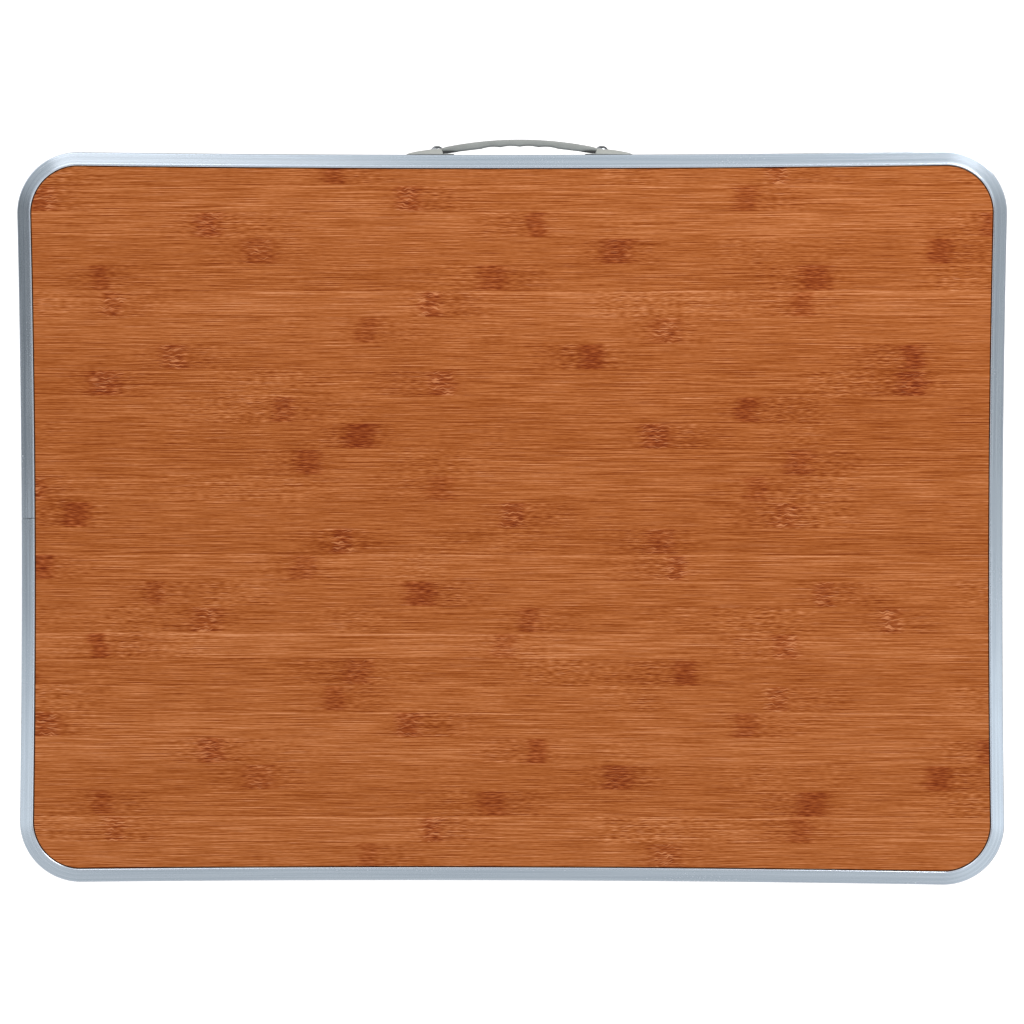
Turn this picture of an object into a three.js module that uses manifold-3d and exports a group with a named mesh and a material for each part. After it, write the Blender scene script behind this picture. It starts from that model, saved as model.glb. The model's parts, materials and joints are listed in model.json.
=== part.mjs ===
// Folding side table: a bamboo-faced board in a bent aluminium rim, standing on two U-shaped tube legs.
// Each leg frame turns in saddles under a cross rail and folds flat beneath the board, one nested inside
// the other. Wire stays brace the open legs, and a flexible carry handle sits on one long side.
// Millimetres, +Z up. The floor is z = 0, the length runs along X, and the handle is on the +Y side.
import * as THREE from "three";
import { mergeVertices } from "three/addons/utils/BufferGeometryUtils.js";
import Module from "manifold-3d";

const wasm = await Module();
wasm.setup();

// Whole table
const LENGTH = 600;
const WIDTH = 445;
const HEIGHT = 536;
const TOUCH = 0.05; // gap between flat faces that touch
const FIT = 0.3; // gap around a piece that sits in another

// Rim: an extrusion bent round the board, with one butt seam in the middle of the left side
const CORNER_RADIUS = 37;
const SIDE_BOW = 1.8; // each side pulls in this far between its bent corners
const SEAM_GAP = 0.3;
const RIM_HEIGHT = 22;
const RIM_WALL = 1.5;
const LIP_WIDTH = 8.2;
const LIP_DEPTH = 1.9;
const RIB_DEPTH = 7.3; // top of the rib that carries the board
const RIB_THICKNESS = 1;
const RIB_WIDTH = 10;
const FLANGE_WIDTH = 12;
const FLANGE_THICKNESS = 1.2;
const SIDE_STEPS = 4;
const CORNER_STEPS = 6;

// Board: a raised face with a tongue round it that slides into the rim's groove
const FACE_DEPTH = 0.6; // below the lip's inner ridge
const FACE_GAP = 0.7; // dark line between the ridge and the face
const TONGUE_INSET = 3;
const BOARD_BOTTOM = 7;

// Cross rails under the board
const RAIL_WIDTH = 44;
const RAIL_WALL = 1.5;
const RAIL_TOP = RIB_DEPTH + RIB_THICKNESS + 0.2;
const RAIL_BOTTOM = RIM_HEIGHT - FLANGE_THICKNESS - 0.2;
const RAIL_RIVET_INSET = 9; // from the rim's outer face

// Leg frames: a bent tube whose cross bar is the hinge
const TUBE_RADIUS = 9.5;
const TUBE_BORE = 8.3;
const TUBE_BEND = 40;
const PIVOT_X = 265.4;
const PIVOT_DROP = RAIL_BOTTOM + 0.4 + TUBE_RADIUS;
const LEG_LENGTH = HEIGHT - PIVOT_DROP;
const LEG_OFFSET = { left: 193, right: 160 }; // the right legs nest inside the left ones
const FOOT_RADIUS = 11.8;
const FOOT_HEIGHT = 28;
const FOOT_FLOOR = 4;

// Saddles that hold the cross bar to its rail
const SADDLE_LENGTH = 22;
const SADDLE_WALL = 2.5;
const SADDLE_HALF = 21;
const SADDLE_EAR = 3;
const SADDLE_SCREW_X = 16.7;

// Wire stays: a pin through the leg, an arm, and a peg that snaps into a clip under the board
const WIRE_RADIUS = 2.5;
const WIRE_BEND = 4;
const STAY_DROP = 115; // pin below the pivot
const STAY_REACH = 165; // peg inboard of the pivot
const PEG_DROP = 14.5; // peg below the top
const STAY_RISE = PIVOT_DROP - PEG_DROP;
const STAY_INSET = 13.5; // arm inside the leg's centre line
const STAY_TURN = 1.385; // turn of a stay on its leg, per turn of the leg
const CLIP_RADIUS = 5.8;
const CLIP_SEAT = WIRE_RADIUS + 0.25;
const CLIP_WIDTH = 9;
const NUT_RADIUS = 5.5;

// Clips that hold the folded legs
const CRADLE_X = 120;
const CRADLE_WALL = 2.4;
const CRADLE_LENGTH = 14;
const CRADLE_BORE = TUBE_RADIUS + 0.4;
const CRADLE_STEM = 7;

// Screws and rivets
const SCREW_RADIUS = 1.5;
const SCREW_HEAD = 3.3;
const HOLE_RADIUS = SCREW_RADIUS + FIT;

// Carry handle, a little right of the middle
const HANDLE_X = 5;
const HANDLE_DROP = 11;
const HANDLE_WIDTH = 16;
const HANDLE_RISE = 9.6; // top of the arch above the rim
const GRIP_HALF = 44.5;
const GRIP_END = 4.7; // top of the grip's ends above the rim
const GRIP_THICKNESS = 3.4;
const FINGERS = 4;
const FINGER_PITCH = 11.6;
const FINGER_DEPTH = 0.6;
const RIVET_X = 50;
const CAP_START = 46.5;
const CAP_END = 68.5;
const CAP_HEIGHT = 3.8;
const PLATE_START = 39;
const PLATE_THICKNESS = 0.8;
const TAB_THICKNESS = 1;

const MATERIALS = {
  bamboo: new THREE.MeshStandardMaterial({ color: 0xac6234, roughness: 0.45, metalness: 0 }),
  rim: new THREE.MeshStandardMaterial({ color: 0xbcc4cf, roughness: 0.35, metalness: 1 }),
  tube: new THREE.MeshStandardMaterial({ color: 0xc4c8cc, roughness: 0.3, metalness: 1 }),
  steel: new THREE.MeshStandardMaterial({ color: 0xa9adb1, roughness: 0.3, metalness: 1 }),
  greyPlastic: new THREE.MeshStandardMaterial({ color: 0x8b8c8a, roughness: 0.5, metalness: 0 }),
  blackPlastic: new THREE.MeshStandardMaterial({ color: 0x26282a, roughness: 0.55, metalness: 0 }),
};

// A path that turns only at its own points, so that straight runs cost one step each.
class KnotPath extends THREE.Curve {
  constructor(knots) {
    super();
    this.knots = knots;
  }
  getPointAt(u, target = new THREE.Vector3()) {
    return target.copy(this.knots[Math.round(u * (this.knots.length - 1))]);
  }
  getTangentAt(u, target = new THREE.Vector3()) {
    const i = Math.round(u * (this.knots.length - 1));
    const run = (a, b) => new THREE.Vector3().subVectors(this.knots[b], this.knots[a]).normalize();
    target.set(0, 0, 0);
    if (i > 0) target.add(run(i - 1, i));
    if (i < this.knots.length - 1) target.add(run(i, i + 1));
    return target.normalize();
  }
}

// A path through the corners given, each rounded to a bend radius.
function bentPath(corners, radius, steps) {
  const knots = [corners[0]];
  for (let i = 1; i < corners.length - 1; i++) {
    const back = new THREE.Vector3().subVectors(corners[i - 1], corners[i]).normalize();
    const ahead = new THREE.Vector3().subVectors(corners[i + 1], corners[i]).normalize();
    const half = back.angleTo(ahead) / 2;
    const inward = new THREE.Vector3().addVectors(back, ahead).normalize();
    const centre = inward.multiplyScalar(radius / Math.sin(half)).add(corners[i]);
    const start = back.clone().multiplyScalar(radius / Math.tan(half)).add(corners[i]).sub(centre);
    const axis = new THREE.Vector3().crossVectors(ahead, back).normalize();
    for (let k = 0; k <= steps; k++) {
      const turn = ((Math.PI - 2 * half) * k) / steps;
      knots.push(start.clone().applyAxisAngle(axis, turn).add(centre));
    }
  }
  knots.push(corners[corners.length - 1]);
  return new KnotPath(knots);
}

const point = (x, y, z) => new THREE.Vector3(x, y, z);
const sweep = (shape, path) =>
  new THREE.ExtrudeGeometry(shape, { extrudePath: path, steps: path.knots.length - 1 });
const shapeOf = (pairs) => new THREE.Shape(pairs.map(([x, y]) => new THREE.Vector2(x, y)));

// An outline in XY extruded along Z, about z = 0.
function slab(shape, depth, curveSegments = 12) {
  const flat = { depth, bevelEnabled: false, curveSegments };
  return new THREE.ExtrudeGeometry(shape, flat).translate(0, 0, -depth / 2);
}

// The same outline with its second axis up, extruded along Y (crossSlab) or along X (longSlab).
const crossSlab = (shape, depth, curveSegments) => slab(shape, depth, curveSegments).rotateX(Math.PI / 2);
const longSlab = (shape, depth, curveSegments) => crossSlab(shape, depth, curveSegments).rotateZ(Math.PI / 2);

// A profile of [radius, height] pairs turned about Z.
const turned = (profile, segments = 20) =>
  new THREE.LatheGeometry(profile.map(([r, h]) => new THREE.Vector2(r, h)), segments).rotateX(Math.PI / 2);

// A round cutter along Z, about its own middle.
const cutter = (radius, length) => new THREE.CylinderGeometry(radius, radius, length, 10).rotateX(Math.PI / 2);

function toSolid(geometry) {
  const bare = new THREE.BufferGeometry().setIndex(geometry.index);
  bare.setAttribute("position", geometry.getAttribute("position"));
  const merged = mergeVertices(bare, 1e-3);
  const vertProperties = merged.getAttribute("position").array;
  return new wasm.Manifold(new wasm.Mesh({ numProp: 3, vertProperties, triVerts: new Uint32Array(merged.index.array) }));
}

function toGeometry(solid) {
  const mesh = solid.getMesh();
  const geometry = new THREE.BufferGeometry();
  geometry.setAttribute("position", new THREE.BufferAttribute(mesh.vertProperties, 3));
  geometry.setIndex(new THREE.BufferAttribute(mesh.triVerts, 1));
  geometry.computeVertexNormals();
  return geometry;
}

const cut = (base, tools) => toGeometry(tools.reduce((left, tool) => left.subtract(toSolid(tool)), toSolid(base)));
const join = (pieces) => toGeometry(pieces.map(toSolid).reduce((a, b) => a.add(b)));
const common = (a, b) => toGeometry(toSolid(a).intersect(toSolid(b)));

function place(parent, name, geometry, material, x = 0, y = 0, z = 0) {
  const mesh = new THREE.Mesh(geometry, material);
  mesh.name = name;
  mesh.position.set(x, y, z);
  parent.add(mesh);
  return mesh;
}

// The table's outline, set in from the rim's outer face, anticlockwise from the middle of the left side.
// With a seam it stays open there by that much.
function outline(inset, seam = 0) {
  const points = [];
  for (let side = 0; side <= 4; side++) {
    const facing = Math.PI * (1 + side / 2);
    const out = new THREE.Vector2(Math.cos(facing), Math.sin(facing));
    const along = new THREE.Vector2(-out.y, out.x);
    const reach = (side % 2 ? WIDTH : LENGTH) / 2;
    const half = (side % 2 ? LENGTH : WIDTH) / 2 - CORNER_RADIUS;
    const from = side === 0 ? seam / 2 : -half;
    const to = side === 4 ? -seam / 2 : half;
    for (let i = 0; i <= SIDE_STEPS; i++) {
      const s = from + ((to - from) * i) / SIDE_STEPS;
      const bow = SIDE_BOW * (1 - (s / half) ** 2);
      points.push(out.clone().multiplyScalar(reach - inset - bow).addScaledVector(along, s));
    }
    if (side === 4) break;
    const centre = out.clone().multiplyScalar(reach - CORNER_RADIUS).addScaledVector(along, half);
    for (let i = 1; i < CORNER_STEPS; i++) {
      const angle = facing + ((Math.PI / 2) * i) / CORNER_STEPS;
      const arm = new THREE.Vector2(Math.cos(angle), Math.sin(angle));
      points.push(arm.multiplyScalar(CORNER_RADIUS - inset).add(centre));
    }
  }
  return points;
}

const closedOutline = (inset) => new THREE.Shape(outline(inset).slice(0, -1));

// How far the rear face of the rim stands from the middle at a given x.
function rimFaceY(x) {
  const half = LENGTH / 2 - CORNER_RADIUS;
  const step = (2 * half) / SIDE_STEPS;
  const before = Math.floor((x + half) / step) * step - half;
  const share = (x - before) / step;
  const bow = (s) => SIDE_BOW * (1 - (s / half) ** 2);
  return WIDTH / 2 - bow(before) * (1 - share) - bow(before + step) * share;
}

// Every screw that goes up into the board: where it is and how far its head sits below the top.
const boardScrews = [];

// --- Top -------------------------------------------------------------------------------------------

// The rim's section as [depth below the top, distance in from the outer face].
function rimProfile() {
  return shapeOf([
    [2.0, 0],
    [1.15, 0.4],
    [0.9, 1.2],
    [0.35, 6.9],
    [0, 7.2],
    [0, 8.0],
    [0.2, LIP_WIDTH],
    [LIP_DEPTH, LIP_WIDTH],
    [LIP_DEPTH, RIM_WALL],
    [RIB_DEPTH, RIM_WALL],
    [RIB_DEPTH, RIB_WIDTH],
    [RIB_DEPTH + RIB_THICKNESS, RIB_WIDTH],
    [RIB_DEPTH + RIB_THICKNESS, RIM_WALL],
    [RIM_HEIGHT - FLANGE_THICKNESS, RIM_WALL],
    [RIM_HEIGHT - FLANGE_THICKNESS, FLANGE_WIDTH],
    [RIM_HEIGHT, FLANGE_WIDTH],
    [RIM_HEIGHT, 0.6],
    [RIM_HEIGHT - 0.6, 0],
  ]);
}

const railRivetY = WIDTH / 2 - RAIL_RIVET_INSET;
const railRivets = [-1, 1].flatMap((x) => [-1, 1].map((y) => [x * PIVOT_X, y * railRivetY]));

function rimGeometry() {
  const path = new KnotPath(outline(0, SEAM_GAP).map((p) => point(p.x, p.y, 0)));
  const handleHoles = [-RIVET_X, RIVET_X].map((x) =>
    cutter(HOLE_RADIUS, 8).rotateX(Math.PI / 2).translate(HANDLE_X + x, rimFaceY(HANDLE_X + x), -HANDLE_DROP),
  );
  const railHoles = railRivets.map(([x, y]) => cutter(HOLE_RADIUS, 4).translate(x, y, -RIM_HEIGHT));
  return cut(sweep(rimProfile(), path), [...handleHoles, ...railHoles]);
}

function boardGeometry() {
  const tongueTop = LIP_DEPTH + FIT;
  const tongue = slab(closedOutline(TONGUE_INSET), BOARD_BOTTOM - tongueTop);
  tongue.translate(0, 0, -(BOARD_BOTTOM + tongueTop) / 2);
  const face = slab(closedOutline(LIP_WIDTH + FACE_GAP), 2);
  face.translate(0, 0, -FACE_DEPTH - 1);
  const pilotHoles = boardScrews.map(([x, y]) => cutter(HOLE_RADIUS, 10).translate(x, y, -BOARD_BOTTOM));
  return cut(join([tongue, face]), pilotHoles);
}

// An upward-open channel, its ends coped to the rim's bent corners.
function railGeometry(x) {
  const half = RAIL_WIDTH / 2;
  const channel = shapeOf([
    [-half, -RAIL_TOP],
    [-half, -RAIL_BOTTOM],
    [half, -RAIL_BOTTOM],
    [half, -RAIL_TOP],
    [half - RAIL_WALL, -RAIL_TOP],
    [half - RAIL_WALL, -RAIL_BOTTOM + RAIL_WALL],
    [-half + RAIL_WALL, -RAIL_BOTTOM + RAIL_WALL],
    [-half + RAIL_WALL, -RAIL_TOP],
  ]);
  const bar = crossSlab(channel, WIDTH).translate(x, 0, 0);
  const inside = slab(closedOutline(RIM_WALL + SIDE_BOW + FIT), 4 * RIM_HEIGHT);
  const saddleY = saddlePosition(x < 0 ? "left" : "right");
  const holes = [-1, 1].flatMap((y) => [
    cutter(HOLE_RADIUS, 6).translate(x, y * railRivetY, -RAIL_BOTTOM),
    ...[-1, 1].map((s) => cutter(HOLE_RADIUS, 6).translate(x + s * SADDLE_SCREW_X, y * saddleY, -RAIL_BOTTOM)),
  ]);
  return cut(common(bar, inside), holes);
}

// A screw or rivet seen head down: the head hangs below z = 0 and the shank rises to the length given.
const fastener = (length, radius = SCREW_RADIUS, head = SCREW_HEAD) =>
  turned(
    [
      [0, -2],
      [head * 0.75, -1.4],
      [head, 0],
      [radius, 0],
      [radius, length - 1],
      [0, length],
    ],
    10,
  );

function addRails(top) {
  for (const [side, sign] of [["left", -1], ["right", 1]]) {
    place(top, `cross_rail_${side}`, railGeometry(sign * PIVOT_X), MATERIALS.tube);
  }
  const rivet = fastener(FLANGE_THICKNESS + RAIL_WALL + 1.5);
  for (const [x, y] of railRivets) {
    const name = `rail_rivet_${x < 0 ? "left" : "right"}_${y < 0 ? "front" : "rear"}`;
    place(top, name, rivet, MATERIALS.steel, x, y, -RIM_HEIGHT - TOUCH);
  }
}

// --- Hinges ----------------------------------------------------------------------------------------

// A saddle sits just inside the start of the tube's bend.
const saddlePosition = (side) => LEG_OFFSET[side] - TUBE_BEND - SADDLE_LENGTH / 2 - 3;

function saddleGeometry() {
  const bore = TUBE_RADIUS + FIT;
  const wrap = bore + SADDLE_WALL;
  const top = PIVOT_DROP - RAIL_BOTTOM - TOUCH;
  const shape = new THREE.Shape();
  shape.moveTo(-SADDLE_HALF, top);
  shape.lineTo(-SADDLE_HALF, top - SADDLE_EAR);
  shape.lineTo(-wrap, top - SADDLE_EAR);
  shape.lineTo(-wrap, 0);
  shape.absarc(0, 0, wrap, Math.PI, 2 * Math.PI, false);
  shape.lineTo(wrap, top - SADDLE_EAR);
  shape.lineTo(SADDLE_HALF, top - SADDLE_EAR);
  shape.lineTo(SADDLE_HALF, top);
  shape.lineTo(bore, top);
  shape.lineTo(bore, 0);
  shape.absarc(0, 0, bore, 0, -Math.PI, true);
  shape.lineTo(-bore, top);
  const holes = [-1, 1].map((s) => cutter(HOLE_RADIUS, 20).translate(s * SADDLE_SCREW_X, 0, top));
  return cut(crossSlab(shape, SADDLE_LENGTH, 6), holes);
}

function addSaddles(top) {
  const saddle = saddleGeometry();
  const screw = fastener(SADDLE_EAR + RAIL_WALL + 3);
  const earDepth = RAIL_BOTTOM + TOUCH + SADDLE_EAR;
  for (const [side, sign] of [["left", -1], ["right", 1]]) {
    for (const [end, y] of [["front", -1], ["rear", 1]]) {
      const x = sign * PIVOT_X;
      const along = y * saddlePosition(side);
      place(top, `saddle_${side}_${end}`, saddle, MATERIALS.blackPlastic, x, along, -PIVOT_DROP);
      for (const [edge, s] of [["a", -1], ["b", 1]]) {
        const name = `saddle_screw_${side}_${end}_${edge}`;
        place(top, name, screw, MATERIALS.steel, x + s * SADDLE_SCREW_X, along, -earDepth - TOUCH);
      }
    }
  }
}

// --- Leg frames, built with the pivot at the origin and the inboard side towards +X ------------------

function tubeGeometry(offset) {
  const ring = new THREE.Shape().absarc(0, 0, TUBE_RADIUS, 0, 2 * Math.PI);
  ring.holes.push(new THREE.Path().absarc(0, 0, TUBE_BORE, 0, 2 * Math.PI, true));
  const foot = -LEG_LENGTH + FOOT_FLOOR + FIT;
  const corners = [point(0, -offset, foot), point(0, -offset, 0), point(0, offset, 0), point(0, offset, foot)];
  const path = bentPath(corners, TUBE_BEND, 6);
  const tube = new THREE.ExtrudeGeometry(ring, { extrudePath: path, steps: path.knots.length - 1, curveSegments: 9 });
  const pinHole = cutter(WIRE_RADIUS + FIT, 3 * offset).rotateX(Math.PI / 2).translate(0, 0, -STAY_DROP);
  return cut(tube, [pinHole]);
}

function footGeometry() {
  const sleeve = TUBE_RADIUS + 0.25;
  return turned([
    [0, 0],
    [FOOT_RADIUS - 1.4, 0],
    [FOOT_RADIUS, 1.4],
    [FOOT_RADIUS, FOOT_HEIGHT - 2],
    [FOOT_RADIUS - 0.9, FOOT_HEIGHT],
    [sleeve, FOOT_HEIGHT],
    [sleeve, FOOT_FLOOR],
    [0, FOOT_FLOOR],
  ], 18);
}

// The wire on the +Y leg: pin through the leg, arm inside it, peg outwards into the clip.
function stayGeometry(offset) {
  const wire = new THREE.Shape().absarc(0, 0, WIRE_RADIUS, 0, 2 * Math.PI);
  const pinEnd = offset + TUBE_RADIUS + 2.6;
  const arm = offset - STAY_INSET;
  const pegEnd = arm + 15;
  const corners = [
    point(0, pinEnd, -STAY_DROP),
    point(0, arm, -STAY_DROP),
    point(STAY_REACH, arm, STAY_RISE),
    point(STAY_REACH, pegEnd, STAY_RISE),
  ];
  const path = bentPath(corners, WIRE_BEND, 4);
  return new THREE.ExtrudeGeometry(wire, { extrudePath: path, steps: path.knots.length - 1, curveSegments: 5 });
}

// A push-on cap for the end of the stay's pin, opening towards the leg.
function nutGeometry() {
  const bore = WIRE_RADIUS + 0.2;
  return turned([
    [bore, 0],
    [NUT_RADIUS, 0],
    [NUT_RADIUS, 1.2],
    [NUT_RADIUS - 1.5, 2.6],
    [0, 3.6],
    [0, 2.6],
    [bore, 2.6],
    [bore, 0],
  ], 12);
}

function addLegFrame(top, side) {
  const offset = LEG_OFFSET[side];
  const group = new THREE.Group();
  const sign = side === "left" ? 1 : -1;
  group.position.set(-sign * PIVOT_X, 0, -PIVOT_DROP);
  if (side === "right") group.rotation.z = Math.PI;
  top.add(group);
  place(group, `leg_tube_${side}`, tubeGeometry(offset), MATERIALS.tube);
  const foot = footGeometry();
  const nut = nutGeometry();
  for (const y of [-1, 1]) {
    const end = y * sign < 0 ? "front" : "rear";
    place(group, `foot_${side}_${end}`, foot, MATERIALS.blackPlastic, 0, y * offset, -LEG_LENGTH);
    // Turning the +Y stay half round X would tip it over, so the -Y one is mirrored in Y instead.
    const stay = place(group, `stay_${side}_${end}`, stayGeometry(offset), MATERIALS.steel);
    stay.scale.y = y;
    const cap = place(group, `stay_nut_${side}_${end}`, nut, MATERIALS.steel);
    cap.position.set(0, y * (offset + TUBE_RADIUS + FIT), -STAY_DROP);
    cap.rotation.x = (-y * Math.PI) / 2;
  }
}

// --- Clips under the board ---------------------------------------------------------------------------

// The snap clip for a stay's peg, about the peg's centre. Its slot faces the way the peg leaves.
function stayClipGeometry() {
  const top = PEG_DROP - BOARD_BOTTOM - TOUCH;
  const base = top - 3;
  const shape = new THREE.Shape();
  shape.moveTo(-17, top);
  shape.lineTo(-17, base);
  shape.lineTo(-CLIP_RADIUS, base);
  shape.lineTo(-CLIP_RADIUS, 0);
  shape.absarc(0, 0, CLIP_RADIUS, Math.PI, 2 * Math.PI, false);
  shape.lineTo(CLIP_RADIUS, top);
  const body = crossSlab(shape, CLIP_WIDTH, 5);
  const swing = STAY_TURN - 1;
  const away = Math.atan2(-STAY_REACH * swing, STAY_DROP + (STAY_DROP + STAY_RISE) * swing);
  const slot = new THREE.BoxGeometry(20, CLIP_WIDTH + 2, 2 * CLIP_SEAT).translate(10, 0, 0).rotateY(-away);
  const seat = cutter(CLIP_SEAT, CLIP_WIDTH + 2).rotateX(Math.PI / 2);
  const screwHole = cutter(HOLE_RADIUS, 20).translate(CLIP_SCREW_X, 0, top);
  return cut(body, [slot, seat, screwHole]);
}

const CLIP_SCREW_X = -11.5;

function addStayClips(top) {
  const clip = stayClipGeometry();
  const screw = fastener(6.5);
  for (const [side, sign] of [["left", 1], ["right", -1]]) {
    const pegMiddle = LEG_OFFSET[side] - STAY_INSET + 9.5;
    for (const y of [-1, 1]) {
      const end = y < 0 ? "front" : "rear";
      const x = -sign * (PIVOT_X - STAY_REACH);
      const mesh = place(top, `stay_clip_${side}_${end}`, clip, MATERIALS.blackPlastic, x, y * pegMiddle, -PEG_DROP);
      if (side === "right") mesh.rotation.z = Math.PI;
      const at = [x + sign * CLIP_SCREW_X, y * pegMiddle];
      boardScrews.push(at);
      place(top, `stay_clip_screw_${side}_${end}`, screw, MATERIALS.steel, ...at, -BOARD_BOTTOM - 3 - 2 * TOUCH);
    }
  }
}

// The cradle for a folded leg, about the tube's centre line, with its screw head sunk in the stem.
function cradleGeometry() {
  const top = PIVOT_DROP - BOARD_BOTTOM - TOUCH;
  const wrap = CRADLE_BORE + CRADLE_WALL;
  const lip = -2.5;
  const shape = new THREE.Shape();
  shape.moveTo(-CRADLE_STEM, top);
  shape.lineTo(-CRADLE_STEM, wrap * 0.8);
  shape.absarc(0, 0, wrap, Math.PI - Math.acos(CRADLE_STEM / wrap), Math.PI, false);
  shape.lineTo(-wrap, lip);
  shape.lineTo(-CRADLE_BORE, lip);
  shape.absarc(0, 0, CRADLE_BORE, Math.PI, 0, true);
  shape.lineTo(CRADLE_BORE, lip);
  shape.lineTo(wrap, lip);
  shape.absarc(0, 0, wrap, 0, Math.acos(CRADLE_STEM / wrap), false);
  shape.lineTo(CRADLE_STEM, top);
  const screwHole = cutter(HOLE_RADIUS, 60);
  const headHole = cutter(SCREW_HEAD + FIT, CRADLE_BORE + 4).translate(0, 0, (CRADLE_BORE + 4) / 2);
  return cut(longSlab(shape, CRADLE_LENGTH, 5), [screwHole, headHole]);
}

function addLegClips(top) {
  const cradle = cradleGeometry();
  const headDepth = PIVOT_DROP - CRADLE_BORE - 4;
  const screw = fastener(headDepth - BOARD_BOTTOM + 3.5);
  for (const [side, x] of [["left", CRADLE_X], ["right", -CRADLE_X]]) {
    for (const y of [-1, 1]) {
      const end = y < 0 ? "front" : "rear";
      const at = [x, y * LEG_OFFSET[side]];
      boardScrews.push(at);
      place(top, `leg_clip_${side}_${end}`, cradle, MATERIALS.blackPlastic, ...at, -PIVOT_DROP);
      place(top, `leg_clip_screw_${side}_${end}`, screw, MATERIALS.steel, ...at, -headDepth - TOUCH);
    }
  }
}

// --- Carry handle, built with +Y away from the rim's face and X along it -----------------------------

// An end cap: a low wedge over a thin plate, rounded to a tongue, with a pocket for the grip's tab.
function handleCapGeometry() {
  const side = new THREE.Shape();
  side.moveTo(PLATE_START, 0);
  side.lineTo(CAP_END, 0);
  side.lineTo(CAP_END, 0.4);
  side.quadraticCurveTo(58, CAP_HEIGHT - 0.4, CAP_START, CAP_HEIGHT);
  side.lineTo(CAP_START, PLATE_THICKNESS);
  side.lineTo(PLATE_START, PLATE_THICKNESS);
  const nose = 6;
  const half = HANDLE_WIDTH / 2;
  const plan = new THREE.Shape();
  plan.moveTo(PLATE_START, -half + 1);
  plan.lineTo(PLATE_START + 1, -half);
  plan.lineTo(CAP_START + 4, -half);
  plan.quadraticCurveTo(CAP_END - nose, -half, CAP_END - 2, -nose / 2);
  plan.quadraticCurveTo(CAP_END, 0, CAP_END - 2, nose / 2);
  plan.quadraticCurveTo(CAP_END - nose, half, CAP_START + 4, half);
  plan.lineTo(PLATE_START + 1, half);
  plan.lineTo(PLATE_START, half - 1);
  const planSlab = crossSlab(plan, 20, 6);
  const wedge = slab(side, HANDLE_WIDTH + 4, 8);
  const pocketHeight = TAB_THICKNESS + 0.5;
  const pocket = new THREE.BoxGeometry(12, pocketHeight, HANDLE_WIDTH - 5);
  pocket.translate(CAP_START + 5, PLATE_THICKNESS + pocketHeight / 2, 0);
  const rivetHole = cutter(HOLE_RADIUS, 20).rotateX(Math.PI / 2).translate(RIVET_X, 0, 0);
  return cut(common(wedge, planSlab), [pocket, rivetHole]);
}

// The grip: an arched strap with finger grooves beneath and a slotted tab at each end.
function gripGeometry() {
  const sag = HANDLE_RISE - GRIP_END;
  const radius = (GRIP_HALF ** 2 + sag ** 2) / (2 * sag);
  const sweepAngle = Math.asin(GRIP_HALF / radius);
  const topCentre = HANDLE_RISE - radius;
  const lower = (x) => topCentre + Math.sqrt((radius - GRIP_THICKNESS) ** 2 - x ** 2);
  const shape = new THREE.Shape();
  shape.absarc(0, topCentre, radius, Math.PI / 2 - sweepAngle, Math.PI / 2 + sweepAngle, false);
  shape.lineTo(-GRIP_HALF, PLATE_THICKNESS + 0.25);
  const first = (-FINGERS / 2) * FINGER_PITCH;
  shape.lineTo(-GRIP_HALF + 3, PLATE_THICKNESS + 0.25);
  shape.lineTo(first, lower(first));
  for (let i = 0; i < FINGERS; i++) {
    const start = first + i * FINGER_PITCH;
    const middle = start + FINGER_PITCH / 2;
    shape.quadraticCurveTo(middle, lower(middle) + 2 * FINGER_DEPTH, start + FINGER_PITCH, lower(start + FINGER_PITCH));
  }
  shape.lineTo(GRIP_HALF - 3, PLATE_THICKNESS + 0.25);
  shape.lineTo(GRIP_HALF, PLATE_THICKNESS + 0.25);
  const strap = slab(shape, HANDLE_WIDTH - 2.4, 10);
  const tabs = [-1, 1].map((s) => {
    const length = 14;
    const tab = new THREE.BoxGeometry(length, TAB_THICKNESS, HANDLE_WIDTH - 6);
    return tab.translate(s * (GRIP_HALF - 2.5 + length / 2), PLATE_THICKNESS + 0.25 + TAB_THICKNESS / 2, 0);
  });
  const slots = [-1, 1].map((s) =>
    new THREE.BoxGeometry(7, 4 * TAB_THICKNESS, 4.4).translate(s * (RIVET_X - 0.6), PLATE_THICKNESS + TAB_THICKNESS / 2, 0),
  );
  return cut(join([strap, ...tabs]), slots);
}

// A domed rivet along Y: head outside the cap, bulb inside the rim.
function handleRivetGeometry(throughRim) {
  return turned([
    [0, -throughRim - 2.2],
    [2.6, -throughRim - 1.6],
    [2.6, -throughRim - 0.1],
    [SCREW_RADIUS, -throughRim - 0.1],
    [SCREW_RADIUS, CAP_HEIGHT],
    [3.6, CAP_HEIGHT],
    [3.3, CAP_HEIGHT + 1],
    [2.2, CAP_HEIGHT + 1.8],
    [0, CAP_HEIGHT + 2.2],
  ], 16).rotateX(-Math.PI / 2);
}

function addHandle(top) {
  const group = new THREE.Group();
  group.position.set(HANDLE_X, rimFaceY(HANDLE_X + CAP_END) + TOUCH, -HANDLE_DROP);
  top.add(group);
  place(group, "handle_grip", gripGeometry(), MATERIALS.greyPlastic);
  const throughRim = RIM_WALL + 2 * TOUCH;
  for (const [end, x] of [["left", -1], ["right", 1]]) {
    const cap = place(group, `handle_cap_${end}`, handleCapGeometry(), MATERIALS.greyPlastic);
    cap.rotation.y = x < 0 ? Math.PI : 0;
    place(group, `handle_rivet_${end}`, handleRivetGeometry(throughRim), MATERIALS.steel, x * RIVET_X, 0, 0);
  }
}

// --- Assembly ----------------------------------------------------------------------------------------

const table = new THREE.Group();
const top = new THREE.Group();
// The origin is under the middle of the whole outline, handle included.
const handleOut = rimFaceY(HANDLE_X + CAP_END) + TOUCH + HANDLE_RISE - WIDTH / 2;
top.position.set(0, -handleOut / 2, HEIGHT);
table.add(top);

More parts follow.
